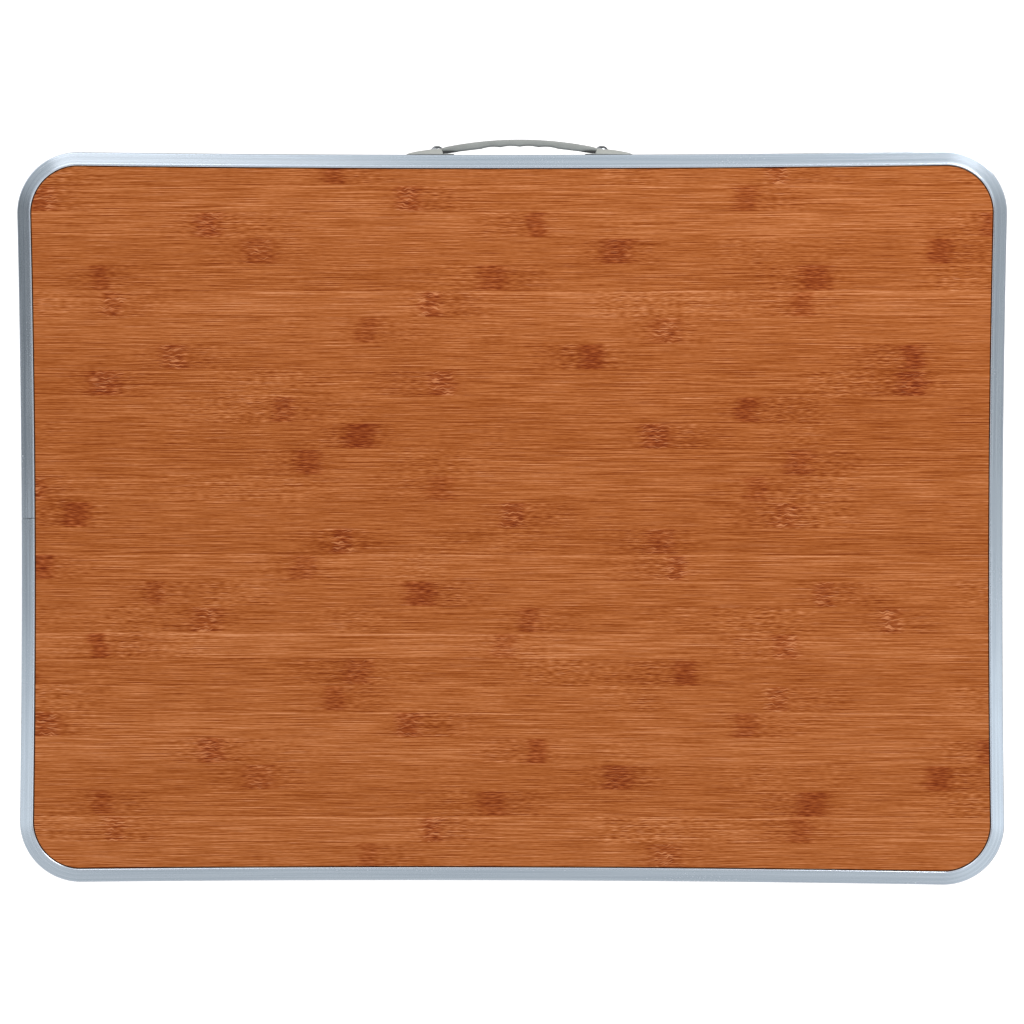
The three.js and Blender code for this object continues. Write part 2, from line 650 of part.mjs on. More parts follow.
addStayClips(top);
addLegClips(top);
place(top, "top_board", boardGeometry(), MATERIALS.bamboo);
place(top, "edge_rim", rimGeometry(), MATERIALS.rim);
const splice = new THREE.BoxGeometry(1.5, 50, RAIL_BOTTOM - RAIL_TOP - 0.4);
const spliceX = -LENGTH / 2 + SIDE_BOW + RIM_WALL + 0.75 + 2 * TOUCH;
place(top, "seam_splice", splice, MATERIALS.steel, spliceX, 0, -(RAIL_TOP + RAIL_BOTTOM) / 2);
addRails(top);
addSaddles(top);
addLegFrame(top, "left");
addLegFrame(top, "right");
addHandle(top);

export default table;
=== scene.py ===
"""Looks of the folding side table: bamboo-faced board, brushed aluminium rim, tube legs, wire stays and
carry handle.

Metres, +Z up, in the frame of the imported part. The constants for the table's own shapes are in millimetres
and pass through mm(). Those of the stage are in metres.
"""
import json
import math

import bpy
import numpy as np
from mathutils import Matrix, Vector

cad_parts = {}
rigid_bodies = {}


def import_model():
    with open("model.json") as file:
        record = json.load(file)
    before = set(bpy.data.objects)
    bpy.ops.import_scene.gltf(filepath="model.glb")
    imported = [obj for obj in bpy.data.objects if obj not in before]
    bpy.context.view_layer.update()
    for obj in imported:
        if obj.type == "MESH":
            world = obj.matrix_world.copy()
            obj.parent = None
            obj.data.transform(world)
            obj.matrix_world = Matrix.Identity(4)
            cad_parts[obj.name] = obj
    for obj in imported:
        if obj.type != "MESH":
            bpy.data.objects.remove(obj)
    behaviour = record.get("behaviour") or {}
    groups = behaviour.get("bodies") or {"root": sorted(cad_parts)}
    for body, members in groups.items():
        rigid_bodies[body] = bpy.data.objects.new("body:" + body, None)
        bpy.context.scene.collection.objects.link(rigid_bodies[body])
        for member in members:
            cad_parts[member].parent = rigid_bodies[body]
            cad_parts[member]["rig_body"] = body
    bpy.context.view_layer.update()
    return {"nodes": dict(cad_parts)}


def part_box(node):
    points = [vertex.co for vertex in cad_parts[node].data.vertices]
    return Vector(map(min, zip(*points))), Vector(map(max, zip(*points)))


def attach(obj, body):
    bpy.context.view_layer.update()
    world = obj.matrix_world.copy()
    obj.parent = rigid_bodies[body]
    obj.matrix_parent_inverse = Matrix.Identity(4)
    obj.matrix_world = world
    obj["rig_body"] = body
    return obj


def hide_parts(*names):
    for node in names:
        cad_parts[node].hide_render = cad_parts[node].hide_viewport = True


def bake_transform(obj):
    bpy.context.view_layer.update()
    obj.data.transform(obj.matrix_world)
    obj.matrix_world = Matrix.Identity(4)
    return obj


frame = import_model()


def mm(value):
    return value * 0.001


# ------------------------------------------------------------------ dimensions, in millimetres

CORNER_RADIUS = 37
SIDE_BOW = 1.8
SEAM_GAP = 0.3
SIDE_STEPS = 24
CORNER_STEPS = 24

# The rim's section as (distance in from the outer face, height against the top of the ridge)
RIM_SECTION = [
    # the outer side and the rounded edge above it
    (0.6, -22), (0.15, -21.85), (0, -21.4), (0, -1.5), (0.04, -1.28), (0.15, -1.1), (0.32, -0.98),
    (0.55, -0.92),
    # the broad face, which rises slightly inwards
    (0.9, -0.88), (2.0, -0.78), (3.4, -0.66), (4.8, -0.53), (6.2, -0.41), (7.1, -0.335),
    # the ridge: steep outside, a gentle slope inside
    (7.18, -0.3), (7.23, -0.2), (7.28, -0.1), (7.33, -0.04), (7.38, -0.01), (7.44, 0), (7.52, -0.012),
    (7.62, -0.04), (7.72, -0.08), (7.82, -0.13), (7.92, -0.185), (8.0, -0.235), (8.08, -0.31),
    (8.15, -0.42), (8.2, -0.6), (8.2, -1.9),
    # the groove for the board's tongue, the rib under it, and the bottom flange
    (1.5, -1.9), (1.5, -7.3), (10, -7.3), (10, -8.3), (1.5, -8.3), (1.5, -20.8), (12, -20.8), (12, -22),
]

# Edges where faces meet at more than this many degrees stay sharp
RIM_SHARP = 24
TURNED_SHARP = 50

# The board. Insets are from the rim's outer face, depths are below the top of the ridge.
FACE_INSET = 8.7
FACE_DEPTH = 0.6
TONGUE_INSET = 3.0
TONGUE_TOP = 2.1
BOARD_BOTTOM = 7.0

TUBE_RADIUS = 9.5
TUBE_BEND = 40
WIRE_RADIUS = 2.5
WIRE_BEND = 4
WIRE_END_ROUND = 0.5

# A stay: how far below the leg's pivot its pin is, where its peg is from the pivot (inboard and up), how far
# its arm is inside the leg, its peg's length, how far its pin stands out, and the gap under the pin's nut
STAY_DROP = 115
STAY_REACH = 165
STAY_RISE = 16
STAY_INSET = 13.5
PEG_LENGTH = 14.5
PIN_STANDS_OUT = 2.3
NUT_GAP = 0.3

# Bamboo laminate. The phase, in strips, places the seams and keeps the count of strips above zero.
STRIP_WIDTH = 16.0
STRIP_REPEAT = 20
STRIP_PHASE = 100.35
JOINT_SPACING = 225.0
THREAD_SHADE_SHIFT = 0.55

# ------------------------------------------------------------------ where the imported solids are

rim_low, rim_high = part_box("edge_rim")
CENTRE = Vector(((rim_low.x + rim_high.x) / 2, (rim_low.y + rim_high.y) / 2, rim_high.z))
HALF_LENGTH = (rim_high.x - rim_low.x) / 2
HALF_WIDTH = (rim_high.y - rim_low.y) / 2


# ------------------------------------------------------------------ materials


def srgb(red, green, blue):
    """An 8-bit display colour as the linear RGBA a shader takes."""

    def linear(value):
        value /= 255
        return value / 12.92 if value <= 0.04045 else ((value + 0.055) / 1.055) ** 2.4

    return (linear(red), linear(green), linear(blue), 1.0)


HASH_SEED = 3.7


class Graph:
    """A node material, built by small calls that each return an output socket."""

    def __init__(self, name):
        self.material = bpy.data.materials.new(name)
        self.material.use_nodes = True
        self.tree = self.material.node_tree
        self.shader = self.tree.nodes["Principled BSDF"]

    def node(self, kind, inputs=None, **settings):
        made = self.tree.nodes.new("ShaderNode" + kind)
        for key, value in settings.items():
            setattr(made, key, value)
        for key, value in (inputs or {}).items():
            self.feed(made.inputs[key], value)
        return made

    def feed(self, socket, value):
        if isinstance(value, bpy.types.NodeSocket):
            self.tree.links.new(value, socket)
        else:
            socket.default_value = value

    def set(self, **inputs):
        for key, value in inputs.items():
            self.feed(self.shader.inputs[key.replace("_", " ")], value)

    def coords(self, output="Object"):
        source = self.node("TexCoord").outputs[output]
        return self.node("SeparateXYZ", {0: source}).outputs

    def math(self, operation, *values):
        made = self.node("Math", operation=operation)
        for i, value in enumerate(values):
            self.feed(made.inputs[i], value)
        return made.outputs[0]

    def times(self, a, b):
        return self.math("MULTIPLY", a, b)

    def plus(self, *values):
        total = values[0]
        for value in values[1:]:
            total = self.math("ADD", total, value)
        return total

    def vector(self, x=0.0, y=0.0, z=0.0):
        return self.node("CombineXYZ", {0: x, 1: y, 2: z}).outputs[0]

    def noise(self, vector, detail=2.0, roughness=0.5):
        inputs = {"Vector": vector, "Scale": 1.0, "Detail": detail, "Roughness": roughness}
        return self.node("TexNoise", inputs).outputs["Fac"]

    def hashed(self, x, y=0.0):
        """Three steady random numbers for each pair of whole numbers."""
        white = self.node("TexWhiteNoise", {"Vector": self.vector(x, y, HASH_SEED)}, noise_dimensions="3D")
        return self.node("SeparateColor", {0: white.outputs["Color"]}).outputs

    def smooth(self, value, low, high, out_low=0.0, out_high=1.0):
        inputs = {0: value, 1: low, 2: high, 3: out_low, 4: out_high}
        return self.node("MapRange", inputs, interpolation_type="SMOOTHSTEP").outputs[0]

    def ramp(self, value, stops):
        made = self.node("ValToRGB", {0: value})
        elements = made.color_ramp.elements
        while len(elements) < len(stops):
            elements.new(0.5)
        for element, (position, colour) in zip(elements, stops):
            element.position = position
            element.color = colour
        return made.outputs[0]

    def mix(self, share, a, b, blend="MIX"):
        made = self.node("Mix", data_type="RGBA", blend_type=blend)
        self.feed(made.inputs[0], share)
        self.feed(made.inputs[6], a)
        self.feed(made.inputs[7], b)
        return made.outputs[2]

    def bump(self, height, distance, strength=1.0):
        inputs = {"Strength": strength, "Distance": distance, "Height": height}
        self.set(Normal=self.node("Bump", inputs).outputs[0])


def centred(socket_noise, graph, amount):
    """A noise about zero, scaled."""
    return graph.times(graph.math("SUBTRACT", socket_noise, 0.5), amount)


def bamboo_laminate():
    """Printed strips of steamed bamboo, with the culm's darker joints and fine fibres along each strip.

    Noises are called by their scales along and across the strips, in cycles per metre."""
    g = Graph("bamboo_laminate")
    x, y, _ = g.coords()
    along = g.math("SUBTRACT", x, CENTRE.x)
    across = g.math("SUBTRACT", y, CENTRE.y)

    def grain(per_metre_along, per_metre_across, seed=0.0, height=across, **settings):
        vector = g.vector(g.times(along, per_metre_along), g.times(height, per_metre_across), seed)
        return g.noise(vector, **settings)

    strip_at = g.plus(g.times(across, 1 / mm(STRIP_WIDTH)), STRIP_PHASE)
    strip = g.math("FLOORED_MODULO", g.math("FLOOR", strip_at), float(STRIP_REPEAT))
    within = g.math("FRACT", strip_at)
    strip_hash = g.hashed(strip)
    strip_hash_b = g.hashed(strip, 57.0)
    strip_seed = g.times(strip, 11.7)

    # One joint in each cell along a strip, off the cell's middle, some strong and some faint. Its ends are
    # ragged, because every fibre changes colour at a place of its own.
    cell_at = g.plus(g.times(along, 1 / mm(JOINT_SPACING)), g.times(strip_hash[0], 7.0), 20.0)
    cell = g.math("FLOOR", cell_at)
    joint_hash = g.hashed(strip, cell)
    joint_hash_b = g.hashed(strip, g.plus(cell, 91.0))
    centre_at = g.plus(0.5, centred(joint_hash[0], g, 0.36))
    offset = g.times(g.math("SUBTRACT", g.math("FRACT", cell_at), centre_at), mm(JOINT_SPACING))
    ragged = grain(25.0, 950.0, 1.0, detail=1.5, roughness=0.6)
    skewed = grain(8.0, 130.0, 12.0, detail=1.0)
    torn = g.plus(offset, centred(ragged, g, mm(11)), centred(skewed, g, mm(9)))
    distance = g.math("ABSOLUTE", torn)
    width = g.plus(mm(6.0), g.times(joint_hash[2], mm(5.0)))
    core = g.smooth(distance, g.times(width, 0.3), g.times(width, 1.3), 1.0, 0.0)
    lean = centred(joint_hash_b[0], g, mm(36))
    halo = g.smooth(g.math("ABSOLUTE", g.plus(torn, lean)), mm(2), mm(40), 1.0, 0.0)
    strength = g.plus(0.5, g.times(joint_hash[1], 0.5))
    from_edge = g.math("MINIMUM", within, g.math("SUBTRACT", 1.0, within))
    inside_strip = g.smooth(from_edge, 0.0, 0.07)
    joint = g.times(g.times(core, strength), inside_strip)
    shadow = g.times(g.times(halo, strength), inside_strip)

    # Fibres run straight along the strip. They zigzag near the joints and in a few wavy lengths.
    wavy = g.smooth(grain(9.0, 0.0, strip_seed, detail=1.0), 0.52, 0.7)
    reach = g.plus(mm(0.1), g.times(wavy, mm(1.4)), g.times(shadow, mm(1.4)))
    waver = grain(95.0, 210.0, 2.0, detail=1.5)
    fibre_y = g.plus(across, g.times(g.math("SUBTRACT", waver, 0.5), reach))
    streaks = grain(3.0, 320.0, strip_seed, fibre_y, detail=1.0)
    fibres = grain(7.0, 1900.0, strip_seed, fibre_y, detail=0.0)
    threads = grain(42.0, 2700.0, strip_seed, fibre_y, detail=0.0)
    beside_y = g.plus(fibre_y, mm(THREAD_SHADE_SHIFT))
    threads_beside = grain(42.0, 2700.0, strip_seed, beside_y, detail=0.0)
    dashes = grain(230.0, 1900.0, 9.0, fibre_y, detail=0.0)
    dashed = g.plus(0.4, g.times(g.math("MAXIMUM", wavy, shadow), 0.9), g.times(joint, 0.6))
    lengthwise = grain(8.0, 0.0, g.times(strip, 5.1), detail=2.0)
    drift = grain(3.1, 3.6, 6.0, detail=1.0)
    blotch = grain(38.0, 60.0, 14.0, detail=2.0)

    # Light zigzag flecks in the middle of some joints
    fleck_y = g.plus(across, centred(grain(330.0, 260.0, 17.0, detail=0.0), g, mm(2.2)))
    fleck_noise = grain(120.0, 1250.0, 5.0, fleck_y, detail=0.5)
    flecks = g.smooth(fleck_noise, 0.54, 0.68)
    middle = g.smooth(g.math("ABSOLUTE", offset), mm(3), mm(11), 1.0, 0.0)
    fleck = g.times(g.times(flecks, middle), g.times(inside_strip, g.smooth(joint_hash_b[1], 0.35, 0.9)))

    # Thin dark and light lines down some of the seams between strips
    seam_along = grain(4.0, 0.0, g.times(strip, 8.3), detail=1.0)
    dark_seam = g.smooth(within, 0.012, 0.05, 1.0, 0.0)
    dark_seam = g.times(g.times(dark_seam, strip_hash_b[0]), g.smooth(seam_along, 0.36, 0.6))
    light_seam = g.smooth(g.math("ABSOLUTE", g.math("SUBTRACT", within, 0.93)), 0.012, 0.05, 1.0, 0.0)
    light_seam = g.times(g.times(light_seam, strip_hash_b[1]), g.smooth(seam_along, 0.4, 0.66))

    # Where on the ramp from dark to light the wood is. Threads count against their neighbours, which keeps
    # them fine.
    tone = g.plus(
        0.45,
        centred(strip_hash[2], g, 0.11),
        centred(lengthwise, g, 0.1),
        centred(drift, g, 0.08),
        centred(blotch, g, 0.16),
        centred(streaks, g, 0.08),
        centred(fibres, g, 0.24),
        centred(threads, g, 1.15),
        centred(threads_beside, g, -0.33),
        g.times(centred(dashes, g, 0.8), dashed),
        g.times(shadow, -0.07),
        g.times(joint, -0.14),
        g.times(dark_seam, -0.3),
        g.times(light_seam, 0.25),
        g.times(fleck, 0.5),
    )
    wood = g.ramp(tone, [
        (0.0, srgb(124, 49, 1)),
        (0.25, srgb(149, 73, 20)),
        (0.5, srgb(174, 97, 45)),
        (0.75, srgb(196, 120, 71)),
        (1.0, srgb(218, 145, 100)),
    ])
    stained = g.mix(1.0, wood, srgb(238, 214, 198), "MULTIPLY")
    colour = g.mix(g.times(joint, 0.95), wood, stained)
    colour = g.mix(g.times(shadow, 0.4), colour, g.mix(1.0, colour, srgb(240, 226, 214), "MULTIPLY"))
    colour = g.mix(g.times(fleck, 0.45), colour, srgb(206, 137, 90))
    g.set(Base_Color=colour, Roughness=g.plus(0.42, centred(fibres, g, 0.12)), Specular_IOR_Level=0.15)
    g.bump(g.plus(fibres, g.times(streaks, 0.6), g.times(dark_seam, -0.5)), mm(0.02), 0.5)
    return g.material


def fibreboard(name, colour_low, colour_high, roughness):
    """Pressed wood fibres, finer through the board than along it."""
    g = Graph(name)
    x, y, z = g.coords()
    fibre_at = g.vector(g.times(x, 420.0), g.times(y, 420.0), g.times(z, 900.0))
    fibres = g.noise(fibre_at, detail=4.0, roughness=0.7)
    clouds = g.noise(g.vector(g.times(x, 14.0), g.times(y, 14.0), z), detail=3.0)
    mixed = g.plus(g.times(fibres, 0.6), g.times(clouds, 0.4))
    g.set(Base_Color=g.ramp(mixed, [(0.35, colour_low), (0.66, colour_high)]))
    g.set(Roughness=g.plus(roughness, centred(fibres, g, 0.2)), Specular_IOR_Level=0.25)
    g.bump(fibres, mm(0.06), 0.6)
    return g.material


def brushed_metal(name, dark, light, roughness, anisotropy, line_density=2400.0, nicks=0.0):
    """Metal with lines along U, the distance along the piece in metres. V is the distance across it. The
    lines are counted per metre, and nicks is how light the small marks are."""
    g = Graph(name)
    along, across, _ = g.coords("UV")
    lines = g.noise(g.vector(g.times(along, 9.0), g.times(across, line_density)), detail=2.0, roughness=0.6)
    bands = g.noise(g.vector(g.times(along, 4.0), g.times(across, line_density / 5), 3.0), detail=1.0)
    handling = g.noise(g.vector(g.times(along, 22.0), g.times(across, 90.0), 8.0), detail=3.0)
    tone = g.plus(g.times(lines, 0.55), g.times(bands, 0.45))
    colour = g.ramp(tone, [(0.36, dark), (0.62, light)])
    rough = g.plus(roughness, centred(lines, g, 0.12), centred(handling, g, 0.08))
    if nicks:
        specks = g.noise(g.vector(g.times(along, 900.0), g.times(across, 1500.0), 5.0), detail=0.0)
        sparse = g.noise(g.vector(g.times(along, 17.0), g.times(across, 120.0), 2.0), detail=0.0)
        nick = g.times(g.smooth(specks, 0.72, 0.78), g.smooth(sparse, 0.6, 0.7))
        colour = g.mix(g.times(nick, nicks), colour, srgb(244, 246, 250))
        rough = g.plus(rough, g.times(nick, 0.2))
    # A quarter turn, so that highlights spread across the lines
    tangent = g.node("Tangent", direction_type="UV_MAP").outputs[0]
    g.set(Base_Color=colour, Metallic=1.0, Roughness=rough, Anisotropic=anisotropy, Tangent=tangent)
    g.set(Anisotropic_Rotation=0.25)
    g.bump(lines, mm(0.012), 0.5)
    return g.material


def noise_in_space(g, per_metre, **settings):
    """A noise with the same scale in all directions."""
    x, y, z = g.coords()
    return g.noise(g.vector(g.times(x, per_metre), g.times(y, per_metre), g.times(z, per_metre)), **settings)


def cast_metal(name, dark, light, roughness, grain):
    """Plated or mill-finish metal with no direction of its own."""
    g = Graph(name)
    grain_noise = noise_in_space(g, grain, detail=3.0)
    clouds = noise_in_space(g, 45.0, detail=2.0)
    colour = g.ramp(g.plus(g.times(grain_noise, 0.4), g.times(clouds, 0.6)), [(0.38, dark), (0.64, light)])
    g.set(Base_Color=colour, Metallic=1.0, Roughness=g.plus(roughness, centred(clouds, g, 0.25)))
    g.bump(grain_noise, mm(0.02), 0.5)
    return g.material


def moulded_plastic(name, dark, light, roughness, grain, depth):
    """Plastic or rubber with a pitted skin. The pits' depth is in millimetres."""
    g = Graph(name)
    pits = noise_in_space(g, grain, detail=2.0, roughness=0.6)
    clouds = noise_in_space(g, 55.0, detail=2.0)
    colour = g.ramp(g.plus(g.times(pits, 0.35), g.times(clouds, 0.65)), [(0.35, dark), (0.65, light)])
    g.set(Base_Color=colour, Roughness=g.plus(roughness, centred(pits, g, 0.2)), Specular_IOR_Level=0.4)
    g.bump(pits, mm(depth), 0.7)
    return g.material


BAMBOO = bamboo_laminate()
# Painted shade: the fibreboard edge on the board's step and tongue is coloured dark brown so that it also
# draws the dark line between the rim and the wood.
BOARD_EDGE_AND_SHADE = fibreboard("board_edge_and_shade", srgb(58, 34, 20), srgb(86, 54, 33), 0.85)
BOARD_BACK = fibreboard("board_back", srgb(150, 118, 86), srgb(176, 143, 108), 0.6)
RIM_METAL = brushed_metal("rim_aluminium", srgb(212, 220, 231), srgb(234, 241, 250), 0.2, 0.9, nicks=0.3)
TUBE_METAL = brushed_metal("tube_aluminium", srgb(205, 208, 212), srgb(232, 234, 237), 0.26, 0.3, 1500.0)
RAIL_METAL = cast_metal("rail_aluminium", srgb(190, 193, 198), srgb(218, 220, 224), 0.36, 500.0)
WIRE_STEEL = cast_metal("zinc_wire", srgb(176, 181, 186), srgb(212, 215, 216), 0.24, 900.0)
ZINC_STEEL = cast_metal("zinc_fastener", srgb(172, 176, 180), srgb(214, 214, 210), 0.28, 1200.0)
RIVET_STEEL = cast_metal("rivet_head", srgb(196, 199, 203), srgb(226, 228, 230), 0.16, 1200.0)
GRIP_PLASTIC = moulded_plastic("grip_plastic", srgb(136, 138, 135), srgb(152, 154, 151), 0.48, 1500.0, 0.03)
# Painted shade: a dark grey for the strap's tab and the wedges under its ends, standing in for the shade in
# the mouth between the strap and the caps.
GRIP_TAB_SHADE = moulded_plastic("grip_tab_shade", srgb(52, 53, 53), srgb(68, 69, 68), 0.6, 1500.0, 0.03)
CAP_PLASTIC = moulded_plastic("cap_plastic", srgb(155, 156, 151), srgb(171, 172, 167), 0.42, 1500.0, 0.025)
# Painted shade: a dark grey for the top of the handle rivets' heads, standing in for the shade in their
# hollow ends.
RIVET_HOLLOW_SHADE = moulded_plastic("rivet_hollow_shade", srgb(78, 80, 82), srgb(100, 102, 104), 0.6, 1500.0, 0.02)
BLACK_NYLON = moulded_plastic("black_nylon", srgb(30, 31, 33), srgb(44, 45, 47), 0.42, 1100.0, 0.03)
FOOT_RUBBER = moulded_plastic("foot_rubber", srgb(34, 34, 35), srgb(50, 50, 51), 0.72, 800.0, 0.06)


# ------------------------------------------------------------------ mesh helpers


def add_piece(name, verts, faces, materials, body, replaces, uvs=None, face_materials=None, sharp=35):
    """A mesh object on a body, shown in place of the nodes in replaces. uvs holds one (u, v) for each corner
    of each face. Edges sharper than the angle stay sharp."""
    mesh = bpy.data.meshes.new(name)
    mesh.from_pydata([tuple(v) for v in verts], [], faces)
    for material in materials:
        mesh.materials.append(material)
    if uvs is not None:
        layer = mesh.uv_layers.new(name="UVMap")
        layer.data.foreach_set("uv", np.array(uvs, np.float32).ravel())
    if face_materials is not None:
        mesh.polygons.foreach_set("material_index", face_materials)
    mesh.polygons.foreach_set("use_smooth", [True] * len(faces))
    mesh.update()
    mesh.set_sharp_from_angle(angle=math.radians(sharp))
    piece = bpy.data.objects.new(name, mesh)
    bpy.context.scene.collection.objects.link(piece)
    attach(piece, body)
    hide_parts(*replaces)
    return piece


def skin(rings):
    """Faces and (ring, place) pairs for rings of equal length, joined one to the next and capped."""
    count = len(rings[0])
    faces, corners = [], []
    for i in range(len(rings) - 1):
        for k in range(count):
            m = (k + 1) % count
            faces.append((i * count + k, i * count + m, (i + 1) * count + m, (i + 1) * count + k))
            corners.append(((i, k), (i, k + 1), (i + 1, k + 1), (i + 1, k)))
    first = tuple(range(count - 1, -1, -1))
    faces.append(first)
    corners.append(tuple((0, k) for k in first))
    end = len(rings) - 1
    faces.append(tuple(end * count + k for k in range(count)))
    corners.append(tuple((end, k) for k in range(count)))
    verts = [v for ring in rings for v in ring]
    return verts, faces, corners


def lathe(profile, segments, origin, axis):
    """Turns (radius, height) pairs in millimetres about an axis through origin. Points on the axis become
    single vertices."""
    profile = [(mm(radius), mm(height)) for radius, height in profile]
    axis = Vector(axis).normalized()
    reference = Vector((1, 0, 0))
    if abs(axis.dot(reference)) > 0.9:
        reference = Vector((0, 1, 0))
    side = axis.cross(reference).normalized()
    other = axis.cross(side)
    verts, rows = [], []
    for radius, height in profile:
        centre = Vector(origin) + axis * height
        if radius < 1e-9:
            rows.append([len(verts)] * segments)
            verts.append(centre)
            continue
        rows.append(list(range(len(verts), len(verts) + segments)))
        for k in range(segments):
            angle = 2 * math.pi * k / segments
            verts.append(centre + (side * math.cos(angle) + other * math.sin(angle)) * radius)
    faces = []
    for low, high in zip(rows, rows[1:]):
        for k in range(segments):
            m = (k + 1) % segments
            face = []
            for index in (low[k], low[m], high[m], high[k]):
                if index not in face:
                    face.append(index)
            if len(face) > 2:
                faces.append(tuple(face))
    return verts, faces


def bent_path(corners, radius, steps):
    """Points through the corners given, each rounded to a bend radius."""
    points = [corners[0]]
    for before, corner, after in zip(corners, corners[1:], corners[2:]):
        back, ahead = (before - corner).normalized(), (after - corner).normalized()
        half = back.angle(ahead) / 2
        centre = corner + (back + ahead).normalized() * (radius / math.sin(half))
        start = corner + back * (radius / math.tan(half)) - centre
        end = corner + ahead * (radius / math.tan(half)) - centre
        turn = math.pi - 2 * half
        for k in range(steps + 1):
            share = k / steps
            weight = math.sin(turn)
            a = math.sin((1 - share) * turn) / weight
            b = math.sin(share * turn) / weight
            points.append(centre + start * a + end * b)
    return points + [corners[-1]]


def sweep_round(points, radius, sides, end_round=0.0):
    """A round bar or tube along points, with (along, around) UVs in metres."""
    tangents = []
    for i, _ in enumerate(points):
        run = Vector((0, 0, 0))
        if i > 0:
            run += (points[i] - points[i - 1]).normalized()
        if i < len(points) - 1:
            run += (points[i + 1] - points[i]).normalized()
        tangents.append(run.normalized())
    normal = tangents[0].orthogonal().normalized()
    rings, travelled = [], [0.0]
    for i, (point, tangent) in enumerate(zip(points, tangents)):
        if i:
            normal = (normal - tangent * normal.dot(tangent)).normalized()
            travelled.append(travelled[-1] + (point - points[i - 1]).length)
        side = tangent.cross(normal)
        ring = []
        for k in range(sides):
            angle = 2 * math.pi * k / sides
            ring.append(point + (normal * math.cos(angle) + side * math.sin(angle)) * radius)
        rings.append(ring)
    if end_round:
        for end, direction in ((0, -1), (-1, 1)):
            tip = points[end] + tangents[end] * (direction * end_round)
            shrunk = [tip + (v - points[end]) * (1 - end_round / radius) for v in rings[end]]
            if end == 0:
                rings.insert(0, shrunk)
                travelled.insert(0, -end_round)
            else:
                rings.append(shrunk)
                travelled.append(travelled[-1] + end_round)
    verts, faces, corners = skin(rings)
    girth = 2 * math.pi * radius
    uvs = [(travelled[i], girth * k / sides) for face in corners for i, k in face]
    return verts, faces, uvs


# ------------------------------------------------------------------ rim and board


def outline(inset, seam=0.0):
    """Points round the table, set in from the rim's outer face, from the middle of the left side and back to
    it. The seam is a gap between the first point and the last."""
    points = []
    radius, bow_depth = mm(CORNER_RADIUS), mm(SIDE_BOW)
    for side in range(5):
        facing = math.pi * (1 + side / 2)
        out = Vector((math.cos(facing), math.sin(facing), 0))
        along = Vector((-out.y, out.x, 0))
        reach = HALF_WIDTH if side % 2 else HALF_LENGTH
        half = (HALF_LENGTH if side % 2 else HALF_WIDTH) - radius
        start = seam / 2 if side == 0 else -half
        end = -seam / 2 if side == 4 else half
        for i in range(SIDE_STEPS + 1):
            s = start + (end - start) * i / SIDE_STEPS
            bow = bow_depth * (1 - (s / half) ** 2)
            points.append(out * (reach - inset - bow) + along * s)
        if side == 4:
            break
        centre = out * (reach - radius) + along * half
        for i in range(1, CORNER_STEPS):
            angle = facing + (math.pi / 2) * i / CORNER_STEPS
            arm = Vector((math.cos(angle), math.sin(angle), 0))
            points.append(centre + arm * (radius - inset))
    return [p + Vector((CENTRE.x, CENTRE.y, 0)) for p in points]


def make_rim():
    spine = outline(0.0, mm(SEAM_GAP))
    travelled = [0.0]
    for a, b in zip(spine, spine[1:]):
        travelled.append(travelled[-1] + (b - a).length)
    columns = [outline(mm(u), mm(SEAM_GAP)) for u, _ in RIM_SECTION]
    heights = [CENTRE.z + mm(z) for _, z in RIM_SECTION]
    rings = []
    for i in range(len(spine)):
        rings.append([Vector((column[i].x, column[i].y, h)) for column, h in zip(columns, heights)])
    verts, faces, corners = skin(rings)
    faces = [tuple(reversed(f)) for f in faces]
    corners = [tuple(reversed(c)) for c in corners]
    around = [0.0]
    loop = RIM_SECTION + RIM_SECTION[:1]
    for (u0, z0), (u1, z1) in zip(loop, loop[1:]):
        around.append(around[-1] + mm(math.hypot(u1 - u0, z1 - z0)))
    uvs = [(travelled[i], around[k]) for face in corners for i, k in face]
    add_piece("rim_brushed", verts, faces, [RIM_METAL], "tabletop", ["edge_rim"], uvs,
              sharp=RIM_SHARP)


def make_board():
    face, side, back = 0, 1, 2
    # The step and tongue take the dark edge material, which is partly the board's own edge and partly
    # painted shade for the line along the rim.
    # Rings from the face outwards and down to the underside: inset, depth, and the material from there on
    section = [
        (FACE_INSET + 0.7, FACE_DEPTH, face), (FACE_INSET + 0.35, FACE_DEPTH, face),
        (FACE_INSET + 0.1, FACE_DEPTH + 0.09, face), (FACE_INSET, FACE_DEPTH + 0.35, side),
        (FACE_INSET, TONGUE_TOP, side), (TONGUE_INSET + 0.2, TONGUE_TOP, side),
        (TONGUE_INSET, TONGUE_TOP + 0.2, side), (TONGUE_INSET, BOARD_BOTTOM - 0.3, side),
        (TONGUE_INSET + 0.3, BOARD_BOTTOM, back),
    ]
    rings = []
    for inset, depth, _ in section:
        rings.append([Vector((p.x, p.y, CENTRE.z - mm(depth))) for p in outline(mm(inset))[:-1]])
    verts, faces, _ = skin(rings)
    count = len(rings[0])
    kinds = [kind for _, _, kind in section[:-1] for _ in range(count)] + [face, back]
    faces = [tuple(reversed(f)) for f in faces]
    add_piece("board_laminated", verts, faces, [BAMBOO, BOARD_EDGE_AND_SHADE, BOARD_BACK], "tabletop",
              ["top_board"], face_materials=kinds, sharp=40)


# ------------------------------------------------------------------ legs and stays


def leg_place(side):
    """A leg frame's pivot, the way that is inboard from it, how far its legs are from the middle, and the
    height they end at."""
    low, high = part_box("leg_tube_" + side)
    pivot = Vector(((low.x + high.x) / 2, (low.y + high.y) / 2, high.z - mm(TUBE_RADIUS)))
    inboard = 1.0 if side == "left" else -1.0
    return pivot, inboard, (high.y - low.y) / 2 - mm(TUBE_RADIUS), low.z


